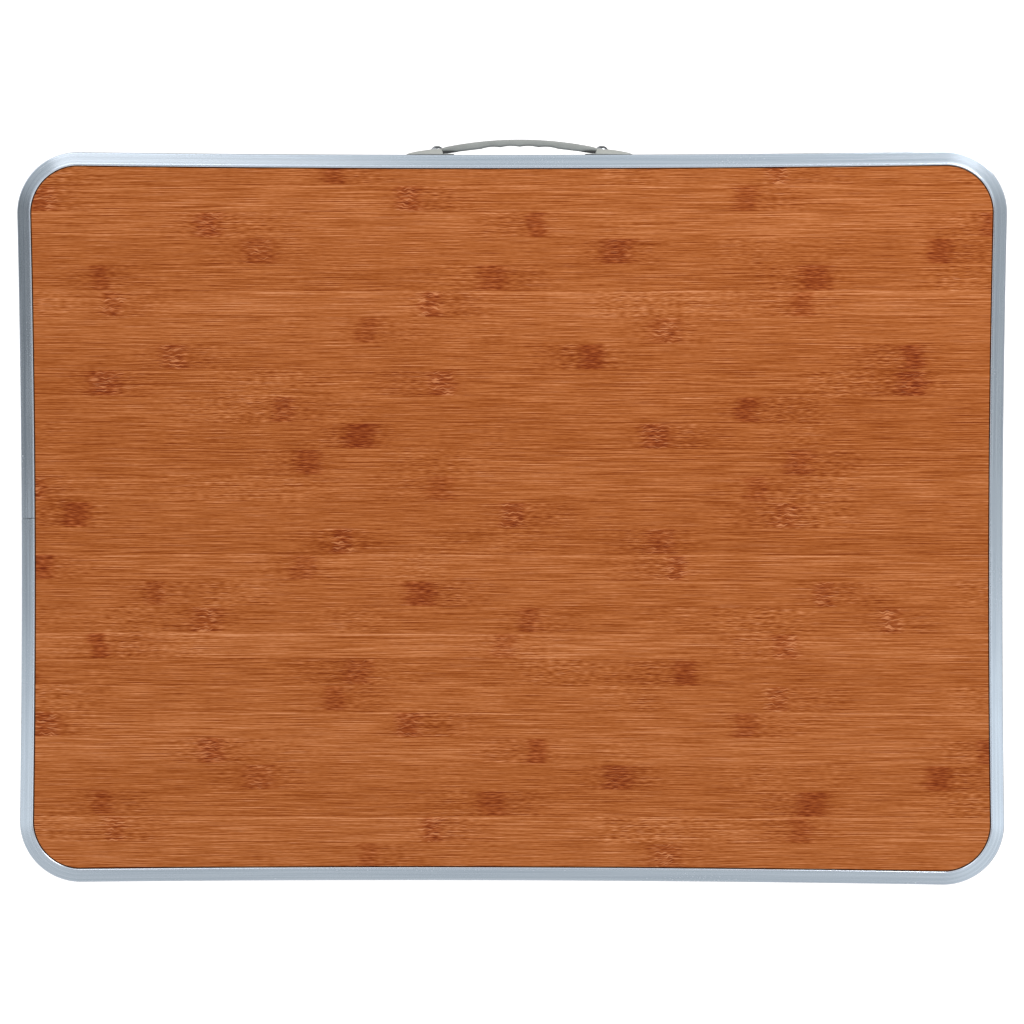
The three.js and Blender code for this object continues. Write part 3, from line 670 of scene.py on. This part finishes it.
def make_leg(side):
    pivot, _, offset, bottom = leg_place(side)
    foot_depth = bottom - pivot.z
    y, up = Vector((0, offset, 0)), Vector((0, 0, foot_depth))
    corners = [pivot - y + up, pivot - y, pivot + y, pivot + y + up]
    points = bent_path(corners, mm(TUBE_BEND), 20)
    verts, faces, uvs = sweep_round(points, mm(TUBE_RADIUS), 40)
    node = "leg_tube_" + side
    add_piece("tube_" + side, verts, faces, [TUBE_METAL], side + "_legs", [node], uvs)


# Sole, outer side with two grooves, rounded mouth, and the inside that takes the tube
FOOT_PROFILE = [
    (0, 0), (7.2, 0), (7.6, 0.5), (8.6, 0.5), (9.2, 0), (10.2, 0.05), (11.2, 0.5), (11.7, 1.3), (11.8, 2.2),
    (11.8, 6.0), (11.35, 6.5), (11.35, 7.5), (11.8, 8.0), (11.8, 9.6), (11.35, 10.1), (11.35, 11.1),
    (11.8, 11.6), (11.75, 24.6), (11.6, 25.6), (11.2, 26.9), (10.6, 27.8), (10.1, 28.0), (9.75, 27.7),
    (9.72, 4.0), (0, 4.0),
]


def make_foot(side, end):
    node = f"foot_{side}_{end}"
    low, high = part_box(node)
    origin = Vector(((low.x + high.x) / 2, (low.y + high.y) / 2, low.z))
    verts, faces = lathe(FOOT_PROFILE, 48, origin, (0, 0, 1))
    name = f"foot_cap_{side}_{end}"
    add_piece(name, verts, faces, [FOOT_RUBBER], side + "_legs", [node], sharp=TURNED_SHARP)


# A flat brim against the leg and a domed cap over the pin's end
NUT_PROFILE = [
    (0, 0.0), (5.0, 0.0), (5.4, 0.15), (5.5, 0.5), (5.45, 1.0), (5.1, 1.3), (4.5, 1.45), (4.25, 1.9),
    (3.9, 2.6), (3.1, 3.15), (1.9, 3.5), (0, 3.6),
]


def make_stay(side, end):
    pivot, inboard, offset, _ = leg_place(side)
    y_way = -1.0 if end == "front" else 1.0
    arm = offset - mm(STAY_INSET)
    pin_end = offset + mm(TUBE_RADIUS + PIN_STANDS_OUT)

    def at(x, y, z):
        return pivot + Vector((inboard * x, y_way * y, z))

    corners = [
        at(0, pin_end, -mm(STAY_DROP)),
        at(0, arm, -mm(STAY_DROP)),
        at(mm(STAY_REACH), arm, mm(STAY_RISE)),
        at(mm(STAY_REACH), arm + mm(PEG_LENGTH), mm(STAY_RISE)),
    ]
    points = bent_path(corners, mm(WIRE_BEND), 10)
    verts, faces, uvs = sweep_round(points, mm(WIRE_RADIUS), 24, mm(WIRE_END_ROUND))
    body, node = f"{side}_{end}_stay", f"stay_{side}_{end}"
    add_piece(f"wire_{side}_{end}", verts, faces, [WIRE_STEEL], body, [node], uvs)
    origin = at(0, offset + mm(TUBE_RADIUS + NUT_GAP), -mm(STAY_DROP))
    verts, faces = lathe(NUT_PROFILE, 32, origin, (0, y_way, 0))
    name, node = f"push_nut_{side}_{end}", f"stay_nut_{side}_{end}"
    add_piece(name, verts, faces, [WIRE_STEEL], body, [node], sharp=TURNED_SHARP)


# ------------------------------------------------------------------ fasteners


PAN_RADIUS = 3.3
HEAD_HEIGHT = 2.0
SCREW_TURN = 0.77

# The pan head's outline as shares of its radius and height, from its middle to its seat
PAN_OUTLINE = [
    (0, 1), (0.35, 0.97), (0.62, 0.86), (0.82, 0.66), (0.95, 0.38), (1, 0.12), (0.97, 0), (0, 0),
]

# The cross recess: half length and half width in radii, depth in heights, and how its arms narrow from just
# outside the head to the bottom of the recess
CROSS_LENGTH, CROSS_WIDTH, CROSS_DEPTH = 0.55, 0.13, 0.62
CROSS_OUTSIDE, CROSS_TOP_SHARE, CROSS_BOTTOM_SHARE = 0.5, 1.1, 0.45


def cross_cutter(turn):
    """One tapered bar of the cross recess, turned about the screw's axis."""
    long, wide = mm(PAN_RADIUS * CROSS_LENGTH), mm(PAN_RADIUS * CROSS_WIDTH)
    outside = -mm(HEAD_HEIGHT) - mm(CROSS_OUTSIDE)
    bottom = -mm(HEAD_HEIGHT) + mm(HEAD_HEIGHT * CROSS_DEPTH)
    cos, sin = math.cos(turn), math.sin(turn)
    corners = []
    for level, share in ((outside, CROSS_TOP_SHARE), (bottom, CROSS_BOTTOM_SHARE)):
        for along, aside in ((-1, -1), (1, -1), (1, 1), (-1, 1)):
            x, y = along * long * share, aside * wide
            corners.append((x * cos - y * sin, x * sin + y * cos, level))
    faces = [(3, 2, 1, 0), (4, 5, 6, 7), (0, 1, 5, 4), (1, 2, 6, 5), (2, 3, 7, 6), (3, 0, 4, 7)]
    mesh = bpy.data.meshes.new("cross")
    mesh.from_pydata(corners, [], faces)
    cutter = bpy.data.objects.new("cross", mesh)
    bpy.context.scene.collection.objects.link(cutter)
    return cutter


def screw_head_mesh(name):
    """A pan head with a cross recess, pointing down, with its seat at the origin."""
    outline_mm = [(PAN_RADIUS * out, -HEAD_HEIGHT * down) for out, down in PAN_OUTLINE]
    verts, faces = lathe(outline_mm, 40, (0, 0, 0), (0, 0, 1))
    mesh = bpy.data.meshes.new(name)
    mesh.from_pydata([tuple(v) for v in verts], [], faces)
    holder = bpy.data.objects.new(name + "_work", mesh)
    bpy.context.scene.collection.objects.link(holder)
    cutters = [cross_cutter(turn) for turn in (0.0, math.pi / 2)]
    for cutter in cutters:
        cut = holder.modifiers.new("cross", "BOOLEAN")
        cut.operation, cut.solver, cut.object = "DIFFERENCE", "EXACT", cutter
    depsgraph = bpy.context.evaluated_depsgraph_get()
    finished = bpy.data.meshes.new_from_object(holder.evaluated_get(depsgraph))
    finished.name = name
    for used in [holder] + cutters:
        bpy.data.objects.remove(used)
    finished.polygons.foreach_set("use_smooth", [True] * len(finished.polygons))
    finished.set_sharp_from_angle(angle=math.radians(32))
    finished.materials.clear()
    finished.materials.append(ZINC_STEEL)
    return finished


def head_seat(node):
    """Where the head of a fastener that points down meets what it holds."""
    low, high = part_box(node)
    return Vector(((low.x + high.x) / 2, (low.y + high.y) / 2, low.z + mm(HEAD_HEIGHT)))


def make_screws():
    """A pan head in place of every screw, each turned a bit further than the one before. The shanks are out
    of sight inside the pieces."""
    pan = screw_head_mesh("pan_head")
    for number, node in enumerate(sorted(n for n in frame["nodes"] if "screw" in n)):
        piece = bpy.data.objects.new(node.replace("screw", "pan_screw"), pan)
        bpy.context.scene.collection.objects.link(piece)
        piece.location = head_seat(node)
        piece.rotation_euler = (0, 0, number * SCREW_TURN)
        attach(piece, "tabletop")
        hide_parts(node)


RIVET_HEAD = [(0, -1.9), (1.2, -1.82), (2.2, -1.5), (2.9, -1.0), (3.25, -0.45), (3.3, 0), (0, 0)]


def make_rail_rivets():
    for node in sorted(n for n in frame["nodes"] if n.startswith("rail_rivet")):
        verts, faces = lathe(RIVET_HEAD, 32, head_seat(node), (0, 0, 1))
        name = node.replace("rail_rivet", "rail_dome")
        add_piece(name, verts, faces, [RIVET_STEEL], "tabletop", [node], sharp=TURNED_SHARP)


# ------------------------------------------------------------------ carry handle

# Along the handle, x is the distance from its middle. Heights are above the rim's side. All in millimetres.
grip_low, grip_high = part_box("handle_grip")
cap_low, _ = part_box("handle_cap_left")
HANDLE = Vector(((grip_low.x + grip_high.x) / 2, cap_low.y, (grip_low.z + grip_high.z) / 2))
GRIP_RISE = (grip_high.y - cap_low.y) * 1000 - 0.6

# The strap's top is an arc down to GRIP_END at GRIP_HALF. Below it are the finger grooves, then a straight
# run down to the undercut ends. REACH is where the strap goes under the caps.
GRIP_HALF = 44.5
GRIP_END = 4.6
GRIP_THICKNESS = 4.1
GRIP_HALF_WIDTH = 6.8
GRIP_CORNER = 1.35
GRIP_BODY_END = 45.9
GRIP_REACH = 46
END_SLOPE = 0.35
UNDERCUT_START, UNDERCUT_HEIGHT, UNDERCUT_STEP, UNDERCUT_RUN = 38.5, 1.75, 0.25, 2.0
FINGERS = 4
FINGER_PITCH = 11.6
GROOVE_DEPTH, GROOVE_DROP = 0.62, 0.12
TAB_LOW, TAB_HIGH, TAB_END = 1.05, 2.05, 55.6


def grip_top(x):
    """Height of the strap's top at x, on an arc through its middle and its ends."""
    sag = GRIP_RISE - GRIP_END
    radius = (GRIP_HALF ** 2 + sag ** 2) / (2 * sag)
    return GRIP_RISE - radius + math.sqrt(radius ** 2 - x ** 2)


def grip_underside(x):
    """Height of the strap's underside at x: four finger grooves, then a straight run to the ends."""
    x = abs(x)
    reach = FINGERS * FINGER_PITCH / 2
    lower = grip_top(min(x, reach)) - GRIP_THICKNESS
    if x <= reach:
        phase = (x % FINGER_PITCH) / FINGER_PITCH
        return lower + GROOVE_DEPTH * (1 - (2 * phase - 1) ** 2) - GROOVE_DROP
    share = (x - reach) / (UNDERCUT_START - reach)
    if share <= 1:
        return lower - GROOVE_DROP + (UNDERCUT_HEIGHT - lower + GROOVE_DROP) * share
    return UNDERCUT_HEIGHT + UNDERCUT_STEP * min(1.0, (x - UNDERCUT_START) / UNDERCUT_RUN)


def rounded_section(half_width, low, high, corner, steps=5):
    """(across, height) points of a rounded rectangle, anticlockwise from the lower right. The corner's
    radius is held just below half the smaller side."""
    corner = min(corner, (high - low) / 2 * 0.98, half_width * 0.98)
    centres = [(half_width - corner, low + corner, -90), (half_width - corner, high - corner, 0),
               (-half_width + corner, high - corner, 90), (-half_width + corner, low + corner, 180)]
    points = []
    for cx, cy, start in centres:
        for k in range(steps + 1):
            angle = math.radians(start + 90 * k / steps)
            points.append((cx + corner * math.cos(angle), cy + corner * math.sin(angle)))
    return points


# Material slots of the strap: its grey plastic, and the dark grey that is painted shade at its ends.
GREY, SHADE_SLOT = 0, 1

# One end of the strap, from its tip inwards: x, underside, top, half width, corner radius and material. The
# tab under the cap takes the dark grey of painted shade.
GRIP_TIP = [
    (TAB_END, TAB_LOW, TAB_HIGH, 4.8, 0.3, SHADE_SLOT),
    (TAB_END - 0.4, TAB_LOW, TAB_HIGH, 5.2, 0.3, SHADE_SLOT),
    (50, TAB_LOW, TAB_HIGH, 5.2, 0.3, SHADE_SLOT),
    (47.2, TAB_LOW, TAB_HIGH, 5.2, 0.3, SHADE_SLOT),
    (46.9, TAB_LOW + 0.05, TAB_HIGH + 0.1, 5.2, 0.4, SHADE_SLOT),
    (46.7, 1.5, 3.0, 5.8, 0.7, GREY),
    (46.4, 2.0, 3.9, 6.2, 0.85, GREY),
]

# A dark wedge under each end of the strap, painted shade in the mouth between the strap and the cap: x,
# underside, top and half width
SHADE_WEDGE = [
    (37.4, 1.85, 2.1, 5.4), (38.4, 1.6, 2.2, 5.9), (41.0, 1.25, 2.3, 6.0), (44.0, 0.75, 2.5, 6.0),
    (46.9, 0.7, 2.6, 6.0), (47.1, 0.9, 2.2, 5.9),
]
SHADE_WEDGE_CORNER = 0.25


def handle_ring(x, section):
    """A section's (across, height) points at x along the handle, in the table's frame."""
    return [HANDLE + Vector((mm(x), mm(height), mm(across))) for across, height in section]


def make_grip():
    stations = [(-x, *rest) for x, *rest in GRIP_TIP]
    for x in np.linspace(-GRIP_BODY_END, GRIP_BODY_END, 150):
        top = grip_top(min(abs(x), GRIP_HALF)) - max(0.0, abs(x) - GRIP_HALF) * END_SLOPE
        half_width = GRIP_HALF_WIDTH - 0.4 * (abs(x) / GRIP_REACH) ** 6
        stations.append((float(x), grip_underside(x), top, half_width, GRIP_CORNER, GREY))
    stations += reversed(GRIP_TIP)
    rings = [handle_ring(x, rounded_section(half_width, low, high, corner))
             for x, low, high, half_width, corner, _ in stations]
    verts, faces, _ = skin(rings)
    kinds = []
    for before, after in zip(stations, stations[1:]):
        kinds += [min(before[-1], after[-1])] * len(rings[0])
    kinds += [SHADE_SLOT, SHADE_SLOT]
    # The wedges under the strap's ends are painted shade.
    for way in (-1, 1):
        rings = [handle_ring(way * x, rounded_section(half_width, low, high, SHADE_WEDGE_CORNER))
                 for x, low, high, half_width in SHADE_WEDGE]
        tab_verts, tab_faces, _ = skin(rings)
        if way < 0:
            tab_faces = [tuple(reversed(face)) for face in tab_faces]
        faces += [tuple(index + len(verts) for index in face) for face in tab_faces]
        verts += tab_verts
        kinds += [SHADE_SLOT] * len(tab_faces)
    faces = [tuple(reversed(face)) for face in faces]
    return add_piece("strap_grip", verts, faces, [GRIP_PLASTIC, GRIP_TAB_SHADE], "tabletop",
                     ["handle_grip"], face_materials=kinds, sharp=45)


def bow_with_lift(grip):
    """Frees the strap from the tabletop: takes it off its body, drops its body tag and bakes its placement
    into its mesh."""
    grip.parent = None
    del grip["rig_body"]
    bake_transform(grip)


# A cap: a thin plate from PLATE_START under the strap, a steep front at CAP_START, a nose down to CAP_END
CAP_START, CAP_END, CAP_HEIGHT = 46.5, 68.5, 3.8
NOSE_START, NOSE_TIP_HEIGHT = CAP_START + 3, 0.35
FRONT_START, FRONT_END = CAP_START - 0.4, CAP_START + 0.6
PLATE_START, PLATE_HEIGHT = 40.0, 0.45
PLATE_CORNER_LENGTH, PLATE_CORNER_WIDTH = 1.5, 1.2
CAP_SIDE_HEIGHT = 0.3
HANDLE_HALF_WIDTH = 8.0
ACROSS_STEPS = 16


def cap_half_width(x):
    """Half the cap's width at x: rounded corners, straight sides, then a long rounded nose."""
    corner_left = PLATE_START + PLATE_CORNER_LENGTH - x
    if corner_left >= 0:
        rounded = math.sqrt(max(0.0, 1 - (corner_left / PLATE_CORNER_LENGTH) ** 2))
        return HANDLE_HALF_WIDTH - PLATE_CORNER_WIDTH + PLATE_CORNER_WIDTH * rounded
    if x <= NOSE_START:
        return HANDLE_HALF_WIDTH
    share = (x - NOSE_START) / (CAP_END - NOSE_START)
    return HANDLE_HALF_WIDTH * max(0.02, (1 - share ** 2.3)) ** 0.6


def cap_crown(x):
    """The cap's height along its middle: the plate, a steep front, and a bellied fall to the nose."""
    if x <= FRONT_START:
        return PLATE_HEIGHT
    if x <= FRONT_END:
        return PLATE_HEIGHT + (CAP_HEIGHT - PLATE_HEIGHT) * math.sin((x - FRONT_START) * math.pi / 2)
    share = (x - FRONT_END) / (CAP_END - FRONT_END)
    return NOSE_TIP_HEIGHT + (CAP_HEIGHT - NOSE_TIP_HEIGHT) * (1 - share) ** 0.75 * (1 + 0.25 * share)


# A domed head with a dished end, where the rivet is hollow. The top of the head, with the dish, is coloured
# dark grey as painted shade for the hollow.
HANDLE_RIVET = [
    (0, 2.8), (3.5, 2.8), (3.75, 2.95), (3.7, 3.3), (3.4, 3.73), (3.0, 4.16), (2.5, 4.57), (2.0, 4.88),
    (1.5, 5.1), (1.1, 5.22), (0.9, 5.18), (0.8, 4.8), (0.6, 4.55), (0, 4.5),
]
HOLLOW_FROM = 4.5


def make_cap(end, way):
    """A boat-shaped cap lofted along x, crowned across, over a thin plate."""
    xs = list(np.linspace(PLATE_START, PLATE_START + PLATE_CORNER_LENGTH, 6))
    xs += [43, 45, 46.0, 46.1, 46.25, 46.4, 46.6, 46.8, 47.0, 47.2]
    xs += list(np.linspace(48, CAP_END, 26))
    rings = []
    for x in xs:
        half_width, crown = cap_half_width(x), cap_crown(x)
        section = []
        for k in range(ACROSS_STEPS + 1):
            side = math.cos(math.pi * k / ACROSS_STEPS)
            fall = (1 - abs(side) ** 3.2) ** 0.8
            section.append((half_width * side, CAP_SIDE_HEIGHT + (crown - CAP_SIDE_HEIGHT) * fall))
        section += [(-half_width * 0.985, 0.0), (half_width * 0.985, 0.0)]
        rings.append(handle_ring(way * x, section))
    verts, faces, _ = skin(rings)
    if way > 0:
        faces = [tuple(reversed(f)) for f in faces]
    node = "handle_cap_" + end
    add_piece("handle_boat_" + end, verts, faces, [CAP_PLASTIC], "tabletop", [node],
              sharp=TURNED_SHARP)


def make_handle_rivet(end):
    node = "handle_rivet_" + end
    low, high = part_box(node)
    origin = Vector(((low.x + high.x) / 2, HANDLE.y, (low.z + high.z) / 2))
    verts, faces = lathe(HANDLE_RIVET, 40, origin, (0, 1, 0))
    # Faces from HOLLOW_FROM up take the dark grey of painted shade.
    kinds = [int(min((verts[k] - origin).y for k in face) >= mm(HOLLOW_FROM)) for face in faces]
    add_piece("handle_dome_" + end, verts, faces, [RIVET_STEEL, RIVET_HOLLOW_SHADE], "tabletop", [node],
              face_materials=kinds, sharp=TURNED_SHARP)


# ------------------------------------------------------------------ solids that keep their CAD shape


# The surface and the edge radius of the solids that are shown as packed, by the start of their names
PACKED_LOOKS = {
    "cross_rail": (RAIL_METAL, 0.4),
    "seam_splice": (ZINC_STEEL, 0.2),
    "saddle": (BLACK_NYLON, 0.5),
    "stay_clip": (BLACK_NYLON, 0.4),
    "leg_clip": (BLACK_NYLON, 0.5),
}


def finish_cad_nodes():
    """Joined faces, rounded edges and a surface for the solids that are shown as packed."""
    for name, node in frame["nodes"].items():
        if node.hide_render:
            continue
        material, edge = next(look for start, look in PACKED_LOOKS.items() if name.startswith(start))
        node.data.materials.clear()
        node.data.materials.append(material)
        node.modifiers.new("joined", "WELD").merge_threshold = mm(0.001)
        bevel = node.modifiers.new("edges", "BEVEL")
        bevel.width, bevel.segments, bevel.limit_method = mm(edge), 3, "ANGLE"
        bevel.angle_limit = math.radians(40)
        bevel.harden_normals = True


# ------------------------------------------------------------------ stage

WHITE, BLACK = (1, 1, 1, 1), (0, 0, 0, 1)


def add_light(name, place, target, size, energy):
    data = bpy.data.lights.new(name, "AREA")
    data.shape, data.size, data.size_y = "RECTANGLE", size[0], size[1]
    data.energy = energy
    light = bpy.data.objects.new(name, data)
    light.location = place
    light.rotation_euler = (target - place).to_track_quat("-Z", "Y").to_euler()
    bpy.context.scene.collection.objects.link(light)


FLOOR_REACH = 14.0
FLOOR_GAP = 0.2


def make_floor():
    """A pale floor. It glows a little for the camera, most from straight above, is darker in reflections so
    that metal has something to show, and can't be seen from below."""
    mesh = bpy.data.meshes.new("floor")
    corners = [(x * FLOOR_REACH, y * FLOOR_REACH, 0) for x, y in ((-1, -1), (1, -1), (1, 1), (-1, 1))]
    mesh.from_pydata(corners, [], [(0, 1, 2, 3)])
    floor = bpy.data.objects.new("floor", mesh)
    bpy.context.scene.collection.objects.link(floor)
    floor.location.z = -mm(FLOOR_GAP)
    g = Graph("pale_floor")
    x, y, _ = g.coords()
    rays = g.node("LightPath").outputs
    geometry = g.node("NewGeometry").outputs
    steepness = g.math("ABSOLUTE", g.node("SeparateXYZ", {0: geometry["Incoming"]}).outputs[2])
    mottle = g.noise(g.vector(g.times(x, 5.0), g.times(y, 5.0)), detail=2.0)
    pale = g.ramp(mottle, [(0.3, (0.92, 0.92, 0.92, 1)), (0.7, (0.94, 0.94, 0.94, 1))])
    # In reflections, the floor goes from light at the near left to dark at the far right
    aside = g.plus(g.times(x, 0.8), g.times(y, 0.5))
    light_to_dark = [(0.0, (0.85, 0.85, 0.86, 1)), (1.0, (0.13, 0.13, 0.14, 1))]
    mirrored = g.ramp(g.smooth(aside, -0.9, 0.9), light_to_dark)
    g.set(Base_Color=g.mix(rays["Is Glossy Ray"], pale, mirrored), Roughness=0.9, Specular_IOR_Level=0.0)
    glow = g.times(rays["Is Camera Ray"], g.smooth(steepness, 0.75, 0.97, 0.14, 0.36))
    g.set(Emission_Color=WHITE, Emission_Strength=glow)
    clear = g.node("BsdfTransparent").outputs[0]
    one_sided = g.node("MixShader", {0: geometry["Backfacing"], 1: g.shader.outputs[0], 2: clear})
    g.feed(g.tree.nodes["Material Output"].inputs[0], one_sided.outputs[0])
    mesh.materials.append(g.material)


class WorldGraph(Graph):
    """The same calls on the world's nodes."""

    def __init__(self, name):
        world = bpy.data.worlds.new(name)
        world.use_nodes = True
        bpy.context.scene.world = world
        self.tree = world.node_tree
        self.shader = self.tree.nodes["Background"]


def make_room():
    """A white room for the camera. For light and reflections it has an uneven ceiling in two halves, which
    the rim's broad face reflects, and walls that are bright high up, and low down only towards the room's
    corners. x, y and z are the direction looked in."""
    g = WorldGraph("studio")
    x, y, z = g.coords("Generated")
    sideways = g.math("ABSOLUTE", x)

    # Seen from the camera, the rim's far side and the far parts of its left and right sides reflect the far
    # half, which is mostly the darker one. The rest of the rim reflects the near half.
    far_half = g.plus(0.17, g.times(g.smooth(x, -0.12, 0.15), g.smooth(y, -0.01, 0.03, 0.17, 0.24)))
    far_half = g.plus(far_half, g.times(g.smooth(y, 0.06, 0.2), g.smooth(x, -0.1, 0.0, 0.5, 0.45)))
    near_half = g.plus(0.5, g.times(g.smooth(sideways, 0.06, 0.2), g.smooth(y, -0.17, -0.095, 0.04, 0.46)))
    near_half = g.plus(near_half, g.smooth(x, 0.0, 0.2, 0.0, 0.24))
    ceiling = g.mix(g.smooth(g.plus(y, g.times(x, -0.012)), -0.077, -0.067), near_half, far_half)
    cool = g.mix(1.0, ceiling, (0.9, 0.965, 1.0, 1), "MULTIPLY")

    # Low down, the walls are bright towards the room's corners, where 2xy / out^2 is near 1 or -1
    out = g.math("SQRT", g.plus(g.times(x, x), g.times(y, y)))
    diagonal = g.math("DIVIDE", g.times(g.times(x, y), 2.0), g.plus(g.times(out, out), 0.001))
    corner = g.math("ABSOLUTE", diagonal)
    panels = g.times(g.smooth(corner, 0.3, 0.8, 0.2, 1.1), g.smooth(g.plus(x, y), -1.2, -0.4, 0.45, 1.0))
    low_wall = g.mix(panels, BLACK, WHITE)
    wall = g.mix(g.smooth(z, 0.12, 0.5), low_wall, WHITE)
    rays = g.node("LightPath").outputs
    wall = g.mix(g.times(rays["Is Glossy Ray"], 0.25), wall, BLACK)
    room = g.mix(g.smooth(out, 0.5, 0.85), cool, wall)
    g.set(Color=g.mix(rays["Is Camera Ray"], room, WHITE), Strength=1.1)


# Name, direction from the middle of the top, distance, size and watts
LIGHTS = (
    ("softbox_left", (-0.28, 0.49, 0.83), 2.3, (0.6, 1.1), 2.1),
    ("softbox_right", (0.35, 0.52, 0.78), 2.3, (0.4, 1.1), 1.3),
    ("key", (0.46, 0.75, 0.48), 1.6, (0.9, 0.9), 11),
)


def make_lights():
    """Two faint softboxes high beyond the far side, and a low key light from the far right."""
    for name, way, distance, size, energy in LIGHTS:
        add_light(name, CENTRE + Vector(way) * distance, CENTRE, size, energy)
    bpy.context.scene.view_settings.view_transform = "Standard"


# The camera looks down at the middle of the top, leaning a little to the right and to the far side. The span
# is the width seen at the top's height, and the lens and sensor are in millimetres.
CAMERA_LENS = 180
CAMERA_SENSOR = 36
CAMERA_SPAN = 0.6218
CAMERA_AIM = Vector((0.0008, 0.0043, 0))
CAMERA_LEAN = (math.radians(1.6), math.radians(2.8))


def make_camera():
    data = bpy.data.cameras.new("camera")
    data.lens, data.sensor_width = CAMERA_LENS, CAMERA_SENSOR
    camera = bpy.data.objects.new("camera", data)
    distance = CAMERA_SPAN * data.lens / data.sensor_width
    back = Vector((math.tan(CAMERA_LEAN[0]), math.tan(CAMERA_LEAN[1]), 1)).normalized()
    camera.location = CENTRE + CAMERA_AIM + back * distance
    camera.rotation_euler = (-CAMERA_LEAN[1], CAMERA_LEAN[0], 0)
    bpy.context.scene.collection.objects.link(camera)
    bpy.context.scene.camera = camera


make_rim()
make_board()
for leg_side in ("left", "right"):
    make_leg(leg_side)
    for leg_end in ("front", "rear"):
        make_foot(leg_side, leg_end)
        make_stay(leg_side, leg_end)
make_screws()
make_rail_rivets()
bow_with_lift(make_grip())
for cap_end, cap_way in (("left", -1), ("right", 1)):
    make_cap(cap_end, cap_way)
    make_handle_rivet(cap_end)
finish_cad_nodes()
make_floor()
make_room()
make_lights()
make_camera()
